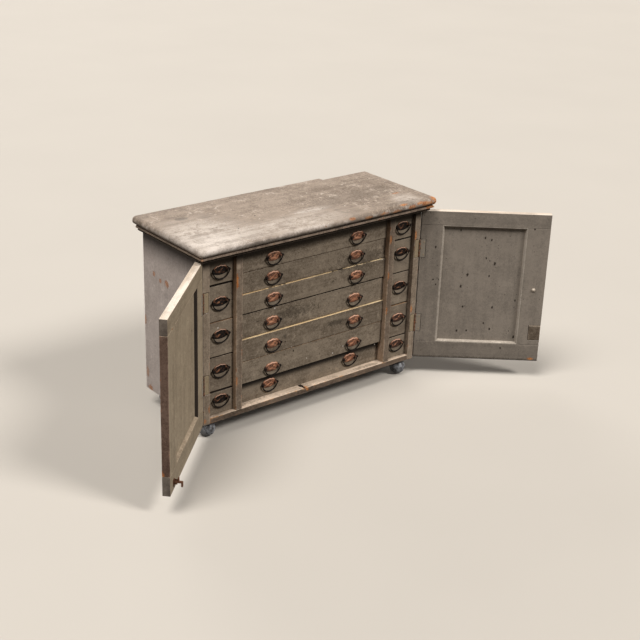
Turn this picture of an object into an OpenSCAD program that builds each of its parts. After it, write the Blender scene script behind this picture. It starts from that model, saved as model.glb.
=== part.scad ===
// Workshop cabinet on casters: banks of drawers behind two panelled doors.
// Millimetres, +Z up, the front faces -Y, the origin on the floor under the middle of the carcass.

/* [Carcass] */
// Thickness of the two side boards
side_t = 23; // [18:1:30]
// Thickness of the two upright dividers
divider_t = 23; // [16:1:30]
// Clear width of the left column of small drawers
left_column_w = 97; // [88:1:130]
// Clear width of the right column of small drawers
right_column_w = 89; // [88:1:130]
// Clear width of the centre drawers
centre_w = 588; // [420:1:700]
// Depth of the carcass, from its front edges to the outside of the back
carcass_d = 333; // [300:1:420]
// Thickness of the bottom board
bottom_t = 18; // [14:1:26]
// Thickness of the back boards
back_t = 10; // [6:1:14]
// Number of back boards
back_count = 6; // [3:1:9]

/* [Drawer rows] */
// Height of the first centre row, at the top
centre_row_1 = 79; // [66:1:100]
// Height of the second centre row
centre_row_2 = 69; // [66:1:100]
// Height of the third centre row
centre_row_3 = 69; // [66:1:100]
// Height of the fourth centre row
centre_row_4 = 81; // [66:1:100]
// Height of the fifth centre row
centre_row_5 = 76; // [66:1:100]
// Height of the sixth centre row
centre_row_6 = 82; // [66:1:100]
// Height of the seventh centre row, at the bottom
centre_row_7 = 68; // [66:1:100]
// Height of the second small row from the top; the first takes what is left
side_row_2 = 117; // [100:1:125]
// Height of the third small row
side_row_3 = 116; // [100:1:125]
// Height of the fourth small row
side_row_4 = 117; // [100:1:125]
// Height of the fifth small row, at the bottom
side_row_5 = 77; // [72:1:85]

/* [Drawers] */
// How far the drawer fronts stand behind the carcass's front edges
front_recess = 15; // [13:0.5:22]
// How much further in the bottom centre drawer stands, to clear the catch
bottom_push = 15; // [13:0.5:20]
// Thickness of a drawer front
front_t = 16; // [12:1:20]
// Thickness of a drawer's sides and back
drawer_side_t = 10; // [8:0.5:12]
// Thickness of a drawer's bottom
drawer_bottom_t = 5; // [3:0.5:8]
// How far a drawer's sides and back stop below the top of its front
drawer_side_drop = 5; // [2:1:12]
// Free space behind the bottom centre drawer
drawer_rear_gap = 13; // [6:1:30]
// Gap between a drawer and the upright beside it
drawer_side_gap = 1; // [0.6:0.1:1.4]
// Gap between a drawer and the edge of its row
drawer_row_gap = 1; // [0.6:0.1:2]
// How far a runner stands out from its upright
runner_w = 5; // [4:0.5:7]
// Height of a runner
runner_h = 9; // [6:0.5:12]
// Gap between a runner and its groove
runner_fit = 0.3; // [0.2:0.05:0.6]

/* [Pulls] */
// Thickness of a pull's plate
plate_t = 2.6; // [1.6:0.2:4]
// Radius of the arch in the middle of a plate
plate_arch_r = 13.5; // [12:0.5:14]
// Radius of the shoulders of a plate
plate_shoulder_r = 13; // [11:0.5:13.5]
// Radius of the rounded ends of a plate
plate_end_r = 7.5; // [6:0.5:8]
// Distance from the middle of a plate to the centre of its rounded end
plate_end_x = 19.5; // [18:0.5:22]
// How far the plate reaches below the bail's axis
plate_below = 7; // [5:0.5:9]
// Distance from the drawer front to the bail's axis
bail_off = 7; // [6:0.5:8]
// Radius of the bail's loop, at the middle of the wire
bail_r = 29; // [27:0.5:31]
// Radius of the bail's wire
wire_r = 2; // [1.5:0.1:2.4]
// Radius of the ball on each end of a bail
bail_ball_r = 3.2; // [2.8:0.1:3.6]
// Radius of the pin on each end of a bail
bail_pin_r = 1.9; // [1.4:0.1:2.2]
// Radius of the post that holds a bail's pin
post_r = 3.6; // [3.2:0.1:4]
// Metal of a post in front of its pin hole
post_rim = 1.7; // [1.4:0.1:2]
// Gap between a post and the ball on the bail
post_gap = 0.7; // [0.4:0.1:1]
// Radial clearance of every pin that turns in its hole
pin_fit = 0.05; // [0.03:0.01:0.08]
// Distance of a wide drawer's pulls from its middle
pull_spread = 167; // [90:1:200]
// Height of the bail's axis above the foot of the top centre row
top_pull_up = 33; // [33:1:40]
// Height of the bail's axis above the foot of a middle centre row
centre_pull_up = 36; // [34:1:42]
// Height of the bail's axis above the foot of the bottom centre row
bottom_pull_up = 42; // [34:1:45]
// Height of the bail's axis above the foot of the top small row
side_top_pull_up = 48; // [36:1:60]
// Height of the bail's axis above the foot of a middle small row
side_pull_up = 74; // [40:1:78]
// Height of the bail's axis above the foot of the second small row on the left
left_second_pull_up = 64; // [40:1:78]
// Height of the bail's axis above the foot of the third and fourth small rows on the right
right_low_pull_up = 69; // [40:1:78]
// Height of the bail's axis above the foot of the bottom small row
side_bottom_pull_up = 50; // [36:1:50]

/* [Top] */
// Thickness of the top board, which has a round nose
top_t = 26; // [18:1:36]
// How far the top's nose stands past the moulding
nose_out = 8; // [4:1:16]
// How far the top stands past the back
top_back = 5; // [0:1:30]
// Length of the notch in the top's back edge, from its right end
notch_l = 198; // [60:1:400]
// Depth of that notch
notch_d = 19; // [6:1:22]
// Height of the moulding and of the carcass top inside it
moulding_h = 20; // [14:1:30]
// How far the moulding stands out at the sides
moulding_side = 25; // [14:1:30]
// How far the moulding stands out at the front, over the doors
moulding_front = 32; // [28:1:45]
// Height and depth of the slope at the moulding's top edge
moulding_slope = 6; // [3:0.5:9]

/* [Doors] */
// Thickness of a door's frame
door_t = 23; // [20:1:30]
// Gap between a closed door and the carcass
door_gap = 1.5; // [1:0.1:2.5]
// Gap above a door
door_top_gap = 5; // [2:0.5:10]
// Gap between a door's foot and the underside of the carcass
door_foot_gap = 6; // [0:0.5:10]
// Gap between the closed doors
meeting_gap = 3; // [2:0.5:6]
// Height of a door's top rail
top_rail_h = 48; // [36:1:70]
// Height of a door's bottom rail
bottom_rail_h = 60; // [40:1:80]
// Width of the stile at the hinges
hinge_stile_w = 73; // [50:1:100]
// Width of the stile at the free edge
lock_stile_w = 75; // [50:1:100]
// Thickness of a door's panel
panel_t = 8; // [5:0.5:10]
// How far the panel lies behind the frame's inner face
panel_recess = 9; // [4:0.5:10]
// How far the panel is let into the frame
panel_tongue = 8; // [4:0.5:12]
// Slack of the panel in its groove
panel_fit = 0.2; // [0.1:0.05:0.5]
// Width of the sloping bead round the panel's inner face
bead_w = 8; // [5:0.5:12]
// How far the left door stands open
left_open_angle = 136; // [100:1:178]
// How far the right door stands open
right_open_angle = 140; // [100:1:178]

/* [Hinges] */
// Length of a hinge
hinge_l = 64; // [50:1:80]
// Thickness of a hinge's leaf
leaf_t = 2; // [1.4:0.1:2.4]
// Wood left beside a leaf on the side board's edge
leaf_margin = 3; // [2:0.5:6]
// Radius of a hinge's knuckle
knuckle_r = 3.4; // [3.2:0.1:4]
// Radius of a hinge's pin
hinge_pin_r = 1.7; // [1.4:0.1:2]
// How far a hinge's pin stands outside the carcass's side
hinge_out = 0.4; // [0.3:0.1:2]
// Gap between a knuckle and what turns past it
knuckle_gap = 0.4; // [0.3:0.05:0.6]
// Slack of a leaf in its recess
leaf_fit = 0.1; // [0.05:0.05:0.2]
// Distance from a door's top edge to the middle of its upper hinge
hinge_from_top = 132; // [80:1:150]
// Distance from a door's foot to the middle of its lower hinge
hinge_from_foot = 129; // [80:1:150]

/* [Catch and knob] */
// Distance from the left door's free edge to the middle of the catch
catch_in = 38; // [20:1:60]
// Width of the catch's lever
catch_w = 8; // [6:0.5:12]
// Thickness of the catch's plate and ears
catch_t = 2.5; // [2:0.1:3]
// Height of the catch's pivot above the bottom board
catch_up = 15; // [13:0.5:18]
// Distance from the door to the catch's pivot
catch_off = 8; // [8:0.5:9]
// How far the lever's nose reaches from the door
catch_reach = 27; // [25:0.5:28]
// Radius of the catch's pivot pin
catch_pin_r = 2; // [1.5:0.1:2.5]
// Gap between the lever's nose and the bottom board it passes over
nose_gap = 0.8; // [0.5:0.1:1.5]
// Thickness of the lever's nose
nose_w = 5; // [4:0.5:6]
// Room in the pocket before and behind the nose
pocket_room_d = 5; // [3.5:0.5:6]
// Room in the pocket on each side of the nose
pocket_room_w = 3; // [2:0.5:5]
// Depth of the pocket that the nose drops into
pocket_deep = 7; // [5:0.5:9]
// Height of the knob above the right door's foot
knob_up = 264; // [120:1:400]
// Radius of the knob
knob_r = 14; // [10:0.5:18]
// Radius of the knob's bolt
bolt_r = 3; // [2:0.5:4]

/* [Casters] */
// Radius of a caster's ball
ball_r = 27; // [20:0.5:35]
// Gap between the ball and the plate above it
ball_gap = 3; // [2:0.5:6]
// Thickness of a caster's plate
caster_plate_t = 3; // [2:0.5:5]
// Radius of a caster's plate
caster_plate_r = 22; // [18:0.5:26]
// Distance of a swivel from the carcass's side
caster_in_x = 46; // [40:1:70]
// Distance of a swivel from the carcass's front or back
caster_in_y = 32; // [30:1:60]
// Distance from a swivel to the middle of its ball
trail = 12; // [9:0.5:15]
// Tilt of a wheel's axle
axle_tilt = 30; // [20:1:40]
// Radius of a wheel's axle
axle_r = 4; // [3:0.5:5]
// Radius of a swivel pin
swivel_r = 5; // [4:0.5:6]
// Width of the slot between a hood and its wheel
hood_gap = 1.2; // [0.8:0.1:2]

/* [Hidden] */
$fn = 48;
// Hairline seam between pieces that are glued or nailed together
seam = 0.1;
// Overcut that carries a cut clear through a face
over = 1;

centre_rows = [centre_row_1, centre_row_2, centre_row_3, centre_row_4, centre_row_5, centre_row_6, centre_row_7];
function total(list, count) = count == 0 ? 0 : list[count - 1] + total(list, count - 1);
centre_count = len(centre_rows);
opening_h = total(centre_rows, centre_count);
side_row_1 = opening_h - side_row_2 - side_row_3 - side_row_4 - side_row_5;
side_rows = [side_row_1, side_row_2, side_row_3, side_row_4, side_row_5];
side_count = len(side_rows);

// How much further in each drawer stands, from the top row down
centre_push = [1, 4, 0, 5, 0, 2, bottom_push];
left_push = [0, 2, 0, 1, 0];
right_push = [0, 0, 1, 0, 0];
centre_pulls_up = [top_pull_up, centre_pull_up, centre_pull_up, centre_pull_up, centre_pull_up,
    centre_pull_up, bottom_pull_up];
left_pulls_up = [side_top_pull_up, left_second_pull_up, side_pull_up, side_pull_up, side_bottom_pull_up];
right_pulls_up = [side_top_pull_up, side_pull_up, right_low_pull_up, right_low_pull_up, side_bottom_pull_up];

carcass_w = 2 * side_t + 2 * divider_t + left_column_w + centre_w + right_column_w;
half_w = carcass_w / 2;
left_x = -half_w + side_t;
left_divider_x = left_x + left_column_w;
centre_x = left_divider_x + divider_t;
right_divider_x = centre_x + centre_w;
right_x = right_divider_x + divider_t;
inner_w = carcass_w - 2 * side_t;
inner_d = carcass_d - back_t;

caster_h = 2 * ball_r + ball_gap + caster_plate_t;
shelf_z = caster_h + bottom_t;
lintel_z = shelf_z + opening_h;
top_z = lintel_z + moulding_h;
drawer_d = inner_d - front_recess - bottom_push - drawer_rear_gap;

leaf_w = side_t - leaf_margin;
knuckle_count = 5;
knuckle_l = hinge_l / knuckle_count;
door_w = half_w - meeting_gap / 2;
door_foot_z = caster_h + door_foot_gap;
door_h = lintel_z - door_top_gap - door_foot_z;
hinge_zs = [door_foot_z + hinge_from_foot, door_foot_z + door_h - hinge_from_top];

post_x = bail_r - bail_ball_r - post_gap - post_r;
post_reach = bail_off + bail_pin_r + pin_fit + post_rim;
catch_x = -meeting_gap / 2 - catch_in;
catch_ear_x = catch_w / 2 + knuckle_gap;
catch_pivot = [catch_off - door_gap, shelf_z + catch_up];
catch_hub_r = catch_off - catch_t - knuckle_gap;
caster_turns = [-40, 200, 160, 20];

// Height of the foot of a row, counted from the top row down
function row_foot(rows, i) = lintel_z - total(rows, i + 1);

// Puts what is drawn from the carcass's front edges into the part's own frame
module framed() {
    translate([0, -carcass_d / 2, 0]) children();
}

// Left and right pieces: the right one is the left one's mirror image
module sided(right) {
    mirror([right ? 1 : 0, 0, 0]) children();
}

// Turns a closed door's pieces about its hinge to the angle it stands open
module swung(right) {
    pin = [-half_w - hinge_out, -door_gap / 2, 0];
    turn = right ? right_open_angle : left_open_angle;
    framed() sided(right) translate(pin) rotate([0, 0, -turn]) translate(-pin) children();
}

// A rod along X from x0 to x1 at the given place across it
module rod_x(x0, x1, y, z, r) {
    translate([x0, y, z]) rotate([0, 90, 0]) cylinder(r = r, h = x1 - x0);
}

// Top

// A slab with round nosing on its front and sides, rounded at the front corners
module nosed_slab(w, d, t) {
    r = t / 2;
    x = w / 2 - r;
    translate([-x, r, 0]) cube([2 * x, d - r, t]);
    rod_x(-x, x, r, r, r);
    for (s = [-1, 1]) {
        translate([s * x, r, r]) rotate([-90, 0, 0]) cylinder(r = r, h = d - r);
        translate([s * x, r, r]) sphere(r = r);
    }
}

module top_board() {
    w = carcass_w + 2 * (moulding_side + nose_out);
    d = moulding_front + nose_out + carcass_d + top_back;
    color("#8d8378") framed() translate([0, -moulding_front - nose_out, top_z])
        difference() {
            nosed_slab(w, d, top_t);
            translate([w / 2 - notch_l, d - notch_d, -over])
                cube([notch_l + over, notch_d + over, top_t + 2 * over]);
        }
}

module carcass_top() {
    color("#7d7468") framed() translate([left_x, 0, lintel_z]) cube([inner_w, inner_d, moulding_h]);
}

// Section of the moulding: a square strip whose top outer edge slopes back
module moulding_section(out) {
    polygon([[0, 0], [out, 0], [out, moulding_h - moulding_slope], [out - moulding_slope, moulding_h],
        [0, moulding_h]]);
}

module top_moulding() {
    out_w = half_w + moulding_side;
    color("#857b70") framed() translate([0, 0, lintel_z]) {
        intersection() {
            translate([-out_w, 0, 0]) rotate([90, 0, 90]) linear_extrude(2 * out_w)
                mirror([1, 0]) moulding_section(moulding_front);
            linear_extrude(moulding_h)
                polygon([[-out_w, -moulding_front], [out_w, -moulding_front], [half_w, 0], [-half_w, 0]]);
        }
        for (right = [false, true]) sided(right)
            intersection() {
                translate([-half_w, carcass_d, 0]) rotate([90, 0, 0])
                    linear_extrude(carcass_d + moulding_front) mirror([1, 0]) moulding_section(moulding_side);
                linear_extrude(moulding_h)
                    polygon([[-out_w - seam, carcass_d], [-out_w - seam, -moulding_front],
                        [-half_w - seam, 0], [-half_w, 0], [-half_w, carcass_d]]);
            }
    }
}

// Carcass

// Room cut for the knuckles of the left hinges, in the side board and the closed door alike
module knuckle_relief() {
    for (z = hinge_zs)
        translate([-half_w - hinge_out, -door_gap / 2, z - hinge_l / 2 - leaf_fit])
            cylinder(r = knuckle_r + knuckle_gap, h = hinge_l + 2 * leaf_fit);
}

module side_board(right) {
    color("#7c7d80") framed() sided(right)
        difference() {
            translate([-half_w, 0, caster_h]) cube([side_t, carcass_d, top_z - caster_h]);
            for (z = hinge_zs)
                translate([-half_w - over, -over, z - hinge_l / 2 - leaf_fit])
                    cube([leaf_w + leaf_fit + over, leaf_t + leaf_fit + over, hinge_l + 2 * leaf_fit]);
            knuckle_relief();
        }
}

module left_side() {
    side_board(false);
}

module right_side() {
    side_board(true);
}

module dividers() {
    color("#80766a") framed()
        for (x = [left_divider_x, right_divider_x])
            translate([x, 0, shelf_z]) cube([divider_t, inner_d, opening_h]);
}

module bottom_board() {
    pocket_y = catch_reach - door_gap - nose_w - pocket_room_d;
    pocket_d = nose_w + 2 * pocket_room_d;
    pocket_w = catch_w + 2 * pocket_room_w;
    color("#8a7c6c") framed()
        difference() {
            translate([left_x, 0, caster_h]) cube([inner_w, inner_d, bottom_t]);
            translate([catch_x - pocket_w / 2, pocket_y, shelf_z - pocket_deep])
                cube([pocket_w, pocket_d, pocket_deep + over]);
        }
}

module back_boards() {
    pitch = inner_w / back_count;
    color("#6f6455") framed()
        for (i = [0:back_count - 1])
            translate([left_x + i * pitch + seam / 2, inner_d, caster_h])
                cube([pitch - seam, back_t, top_z - caster_h]);
}

// Runners of one column of drawers
module column_runners(x0, w, rows, push) {
    for (i = [0:len(rows) - 1]) {
        y = front_recess + push[i] + front_t + 2 * over;
        z = row_foot(rows, i) + (rows[i] - runner_h) / 2;
        for (x = [x0, x0 + w - runner_w])
            translate([x, y, z]) cube([runner_w, inner_d - y, runner_h]);
    }
}

module drawer_runners() {
    color("#9c8566") framed() {
        column_runners(left_x, left_column_w, side_rows, left_push);
        column_runners(centre_x, centre_w, centre_rows, centre_push);
        column_runners(right_x, right_column_w, side_rows, right_push);
    }
}

// Hinges

// One leaf with its share of the knuckles, for a left hinge whose pin stands on the Z axis
module hinge_leaf(leaf_y, own) {
    difference() {
        union() {
            translate([0, leaf_y, -hinge_l / 2]) cube([hinge_out + leaf_w, leaf_t, hinge_l]);
            for (k = own)
                translate([0, 0, -hinge_l / 2 + k * knuckle_l + seam])
                    cylinder(r = knuckle_r, h = knuckle_l - 2 * seam);
        }
        for (k = [0:knuckle_count - 1])
            if (len(search(k, own)) == 0)
                translate([0, 0, -hinge_l / 2 + k * knuckle_l - seam])
                    cylinder(r = knuckle_r + knuckle_gap, h = knuckle_l + 2 * seam);
        translate([0, 0, -hinge_l]) cylinder(r = hinge_pin_r + pin_fit, h = 2 * hinge_l);
    }
}

module hinge_leaves() {
    color("#6b5a45") framed()
        for (right = [false, true], z = hinge_zs)
            sided(right) translate([-half_w - hinge_out, -door_gap / 2, z]) {
                hinge_leaf(door_gap / 2, [0, 2, 4]);
                translate([0, 0, -hinge_l / 2]) cylinder(r = hinge_pin_r, h = hinge_l);
            }
}

module door_leaves() {
    for (z = hinge_zs)
        translate([-half_w - hinge_out, -door_gap / 2, z]) hinge_leaf(-door_gap / 2 - leaf_t, [1, 3]);
}

// Doors, drawn closed on the left

// The panel's slab, grown all round by the given slack
module panel_slab(slack) {
    w = door_w - hinge_stile_w - lock_stile_w + 2 * panel_tongue;
    h = door_h - top_rail_h - bottom_rail_h + 2 * panel_tongue;
    translate([-half_w + hinge_stile_w - panel_tongue - slack,
        -door_gap - panel_recess - panel_t - slack,
        door_foot_z + bottom_rail_h - panel_tongue - slack])
        cube([w + 2 * slack, panel_t + 2 * slack, h + 2 * slack]);
}

// A mitred strip of the bead, along X for length l, with the frame's edge at z = 0 and the panel at y = 0
module bead_strip(l) {
    intersection() {
        rotate([90, 0, 90]) linear_extrude(l)
            polygon([[seam, seam], [panel_recess, seam], [seam, bead_w]]);
        translate([0, panel_recess + over, 0]) rotate([90, 0, 0]) linear_extrude(panel_recess + 2 * over)
            polygon([[seam, 0], [l - seam, 0], [l - bead_w - seam, bead_w], [bead_w + seam, bead_w]]);
    }
}

// The four strips of bead round a panel
module panel_bead() {
    w = door_w - hinge_stile_w - lock_stile_w;
    h = door_h - top_rail_h - bottom_rail_h;
    translate([-half_w + hinge_stile_w, -door_gap - panel_recess, door_foot_z + bottom_rail_h]) {
        bead_strip(w);
        translate([0, 0, h]) mirror([0, 0, 1]) bead_strip(w);
        mirror([1, 0, 0]) rotate([0, -90, 0]) bead_strip(h);
        translate([w, 0, 0]) rotate([0, -90, 0]) bead_strip(h);
    }
}

module door_frame(right) {
    stile_h = door_h - top_rail_h - bottom_rail_h - 2 * seam;
    stile_z = door_foot_z + bottom_rail_h + seam;
    back_y = -door_gap - door_t;
    swung(right)
        difference() {
            union() {
                translate([-half_w, back_y, door_foot_z]) cube([door_w, door_t, bottom_rail_h]);
                translate([-half_w, back_y, door_foot_z + door_h - top_rail_h])
                    cube([door_w, door_t, top_rail_h]);
                translate([-half_w, back_y, stile_z]) cube([hinge_stile_w, door_t, stile_h]);
                translate([-half_w + door_w - lock_stile_w, back_y, stile_z])
                    cube([lock_stile_w, door_t, stile_h]);
            }
            panel_slab(panel_fit);
            for (z = hinge_zs)
                translate([-half_w - over, -door_gap - leaf_t - leaf_fit, z - hinge_l / 2 - leaf_fit])
                    cube([leaf_w + leaf_fit + over, leaf_t + leaf_fit + over, hinge_l + 2 * leaf_fit]);
            knuckle_relief();
            if (right)
                translate([-half_w + door_w - lock_stile_w / 2, 0, door_foot_z + knob_up])
                    rotate([90, 0, 0]) cylinder(r = bolt_r + pin_fit, h = door_gap + door_t + over);
        }
    swung(right) panel_bead();
}

module left_door_frame() {
    color("#837c70") door_frame(false);
}

module right_door_frame() {
    color("#837c70") door_frame(true);
}

module left_door_panel() {
    color("#8a857a") swung(false) panel_slab(0);
}

module right_door_panel() {
    color("#8a857a") swung(true) panel_slab(0);
}

// Base of the elbow catch: a plate, two ears and the pin between them
module catch_base() {
    ear_d = catch_off + catch_pin_r + catch_t;
    plate_w = 2 * (catch_ear_x + catch_t);
    low = 2 * over;
    high = catch_up + catch_hub_r + catch_t;
    translate([catch_x, -door_gap, shelf_z]) {
        translate([-plate_w / 2, 0, low]) cube([plate_w, catch_t, high - low]);
        for (s = [-1, 1])
            translate([s * (catch_ear_x + catch_t / 2) - catch_t / 2, 0, catch_up - catch_hub_r])
                cube([catch_t, ear_d, 2 * catch_hub_r]);
        rod_x(-catch_ear_x - over, catch_ear_x + over, catch_off, catch_up, catch_pin_r);
    }
}

module left_door_ironwork() {
    color("#5a4331") swung(false) {
        door_leaves();
        catch_base();
    }
}

// Lever of the elbow catch: hub, arm, thumb tail and a nose that points down
module catch_lever() {
    arm_h = 5;
    reach = catch_reach - catch_off;
    tail_x = 5;
    tail_w = 3.5;
    tail_h = 14;
    color("#4d3424") swung(false)
        translate([catch_x - catch_w / 2, catch_pivot[0], catch_pivot[1]]) rotate([90, 0, 90])
            linear_extrude(catch_w)
                difference() {
                    union() {
                        circle(r = catch_hub_r);
                        translate([0, -arm_h / 2]) square([reach, arm_h]);
                        translate([tail_x, 0]) square([tail_w, tail_h]);
                        translate([reach - nose_w, -catch_up + nose_gap]) square([nose_w, catch_up - nose_gap]);
                    }
                    circle(r = catch_pin_r + pin_fit);
                }
}

// Knob with its rose, its bolt through the door and its nut, as one turned piece
module door_knob() {
    rose_r = knob_r - 3;
    neck_r = knob_r / 2;
    rose_t = 2;
    knob_z = knob_r * 1.5;
    nut_r = bolt_r * 2;
    nut_t = 3;
    tip = 2;
    rotate([90, 0, 0]) rotate_extrude() {
        translate([0, door_t + seam]) square([rose_r, rose_t]);
        translate([0, door_t]) square([neck_r, knob_z - knob_r / 2]);
        intersection() {
            translate([0, door_t + knob_z]) circle(r = knob_r);
            translate([0, door_t]) square([knob_r, knob_z + knob_r]);
        }
        translate([0, -nut_t - tip]) square([bolt_r, door_t + nut_t + tip + over]);
        translate([0, -nut_t - seam]) square([nut_r, nut_t]);
    }
}

module right_door_ironwork() {
    color("#5a4331") swung(true) {
        door_leaves();
        translate([-half_w + door_w - lock_stile_w / 2, -door_gap, door_foot_z + knob_up]) door_knob();
    }
}

// Drawers

// Outline of a pull's plate: an arch, two shoulders and two rounded ends on a flat foot
module plate_outline() {
    wide = plate_end_x + plate_end_r;
    intersection() {
        union() {
            translate([0, plate_below]) circle(r = plate_arch_r);
            for (s = [-1, 1]) {
                translate([s * plate_end_x * 0.55, plate_below * 0.7]) circle(r = plate_shoulder_r);
                translate([s * plate_end_x, 0]) circle(r = plate_end_r);
            }
            translate([-plate_end_x, -plate_below]) square([2 * plate_end_x, 2 * plate_below]);
        }
        translate([-wide, -plate_below]) square([2 * wide, 2 * plate_below + plate_arch_r]);
    }
}

// Plate of a pull with its two posts, on a drawer front at y = 0, centred on the bail's axis
module pull_plate() {
    difference() {
        union() {
            translate([0, -seam, 0]) rotate([90, 0, 0]) linear_extrude(plate_t) plate_outline();
            for (s = [-1, 1])
                translate([s * post_x, -seam - plate_t / 2, 0]) rotate([90, 0, 0])
                    cylinder(r = post_r, h = post_reach - plate_t / 2);
        }
        for (s = [-1, 1])
            rod_x(s * post_x - post_r - over, s * post_x + post_r + over, -bail_off, 0, bail_pin_r + pin_fit);
    }
}

// A drawer in the opening of width w that starts at x0, in the row of height h with its foot at z0
module drawer(x0, w, z0, h, push, pulls_x, pull_up) {
    front_w = w - 2 * drawer_side_gap;
    front_h = h - 2 * drawer_row_gap;
    box_y = front_t + seam;
    box_l = drawer_d - box_y;
    side_z = drawer_bottom_t + seam;
    side_h = front_h - drawer_side_drop - side_z;
    groove_z = (front_h - runner_h) / 2 - side_z - runner_fit;
    groove_d = runner_w - drawer_side_gap + runner_fit;
    framed() translate([x0 + drawer_side_gap, front_recess + push, z0 + drawer_row_gap]) {
        cube([front_w, front_t, front_h]);
        translate([0, box_y, 0]) cube([front_w, box_l, drawer_bottom_t]);
        for (right = [0, 1])
            translate([right * (front_w - drawer_side_t), box_y, side_z])
                difference() {
                    cube([drawer_side_t, box_l, side_h]);
                    translate([right * (drawer_side_t - groove_d + over) - over, -over, groove_z])
                        cube([groove_d + over, box_l + 2 * over, runner_h + 2 * runner_fit]);
                }
        translate([drawer_side_t + seam, drawer_d - drawer_side_t, side_z])
            cube([front_w - 2 * drawer_side_t - 2 * seam, drawer_side_t, side_h]);
        for (x = pulls_x)
            translate([x + front_w / 2, 0, pull_up - drawer_row_gap]) pull_plate();
    }
}

module centre_drawer(i) {
    color("#7d776b") drawer(centre_x, centre_w, row_foot(centre_rows, i), centre_rows[i], centre_push[i],
        [-pull_spread, pull_spread], centre_pulls_up[i]);
}

module left_drawer(i) {
    color("#7d776b") drawer(left_x, left_column_w, row_foot(side_rows, i), side_rows[i], left_push[i],
        [0], left_pulls_up[i]);
}

module right_drawer(i) {
    color("#7d776b") drawer(right_x, right_column_w, row_foot(side_rows, i), side_rows[i], right_push[i],
        [0], right_pulls_up[i]);
}

// A bail: half a ring of wire with a ball and an inward pin on each end, hanging from its axis
module bail() {
    rotate([90, 0, 0]) rotate([0, 0, 180]) rotate_extrude(angle = 180) translate([bail_r, 0]) circle(r = wire_r);
    for (s = [-1, 1]) {
        translate([s * bail_r, 0, 0]) sphere(r = bail_ball_r);
        inner = post_x - post_r - over;
        rod_x(s > 0 ? inner : -bail_r, s > 0 ? bail_r : -inner, 0, 0, bail_pin_r);
    }
}

// The bails of one drawer, which share a hinge line
module bails(x0, w, z0, push, pulls_x, pull_up) {
    color("#3b3029") framed()
        for (x = pulls_x)
            translate([x0 + w / 2 + x, front_recess + push - bail_off, z0 + pull_up]) bail();
}

module centre_bails(i) {
    bails(centre_x, centre_w, row_foot(centre_rows, i), centre_push[i], [-pull_spread, pull_spread],
        centre_pulls_up[i]);
}

module left_bail(i) {
    bails(left_x, left_column_w, row_foot(side_rows, i), left_push[i], [0], left_pulls_up[i]);
}

module right_bail(i) {
    bails(right_x, right_column_w, row_foot(side_rows, i), right_push[i], [0], right_pulls_up[i]);
}

// Casters

// Places a caster's pieces, numbered front left, front right, back left, back right
module at_caster(i) {
    x = half_w - caster_in_x;
    framed() translate([i % 2 == 0 ? -x : x, i < 2 ? caster_in_y : carcass_d - caster_in_y, 0]) children();
}

// Turns what is drawn about Z to a wheel's tilted axle, at the middle of the ball
module on_axle(i) {
    rotate([0, 0, caster_turns[i]]) translate([-trail, 0, ball_r]) rotate([0, 90 - axle_tilt, 0]) children();
}

module caster_plates() {
    pin_l = ball_r / 2 + ball_gap;
    color("#5f6063")
        for (i = [0:3]) at_caster(i) {
            translate([0, 0, caster_h - caster_plate_t]) cylinder(r = caster_plate_r, h = caster_plate_t);
            translate([0, 0, caster_h - caster_plate_t - pin_l]) cylinder(r = swivel_r, h = pin_l + over);
        }
}

// Hood of a caster: half the ball, the boss round the swivel pin and the axle
module caster_hood(i) {
    boss_top = 2 * ball_r + ball_gap / 2;
    bore_foot = 2 * ball_r + ball_gap - ball_r / 2 - ball_gap - over;
    color("#77797c") at_caster(i)
        difference() {
            union() {
                on_axle(i) rotate_extrude() intersection() {
                    circle(r = ball_r);
                    translate([0, hood_gap / 2]) square(ball_r);
                }
                translate([0, 0, ball_r + over]) cylinder(r = swivel_r + 4, h = boss_top - ball_r - over);
                on_axle(i) translate([0, 0, -ball_r * 0.6]) cylinder(r = axle_r, h = ball_r * 0.6 + 2 * over);
            }
            translate([0, 0, bore_foot]) cylinder(r = swivel_r + pin_fit, h = ball_r);
        }
}

// Wheel of a caster: the other half of the ball, bored for the axle
module caster_wheel(i) {
    bore_l = ball_r * 0.6 + over;
    color("#8c8f92") at_caster(i) on_axle(i) rotate_extrude()
        difference() {
            intersection() {
                circle(r = ball_r);
                translate([0, -ball_r]) square([ball_r, ball_r - hood_gap / 2]);
            }
            translate([0, -bore_l]) square([axle_r + pin_fit, bore_l + over]);
        }
}

top_board();
carcass_top();
top_moulding();
left_side();
right_side();
dividers();
bottom_board();
back_boards();
drawer_runners();
hinge_leaves();
caster_plates();
left_door_frame();
left_door_panel();
left_door_ironwork();
catch_lever();
right_door_frame();
right_door_panel();
right_door_ironwork();
for (i = [0:3]) {
    caster_hood(i);
    caster_wheel(i);
}
for (i = [0:centre_count - 1]) {
    centre_drawer(i);
    centre_bails(i);
}
for (i = [0:side_count - 1]) {
    left_drawer(i);
    right_drawer(i);
    left_bail(i);
    right_bail(i);
}
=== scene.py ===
"""Looks of the workshop cabinet: worn painted boards, copper pulls, iron hinges and ball casters.

Sizes are in millimetres and count from the carcass's front edges, as in the part's source. FRAME takes
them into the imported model's own frame, in metres, so that each piece has its place in its mesh.
"""

from __future__ import annotations

import logging
import math
import random
from dataclasses import dataclass, field, replace
from enum import Enum, IntEnum
from typing import Iterable, Sequence, Union

import bmesh
import bpy
import numpy as np
from mathutils import Matrix, Vector, noise

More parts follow.
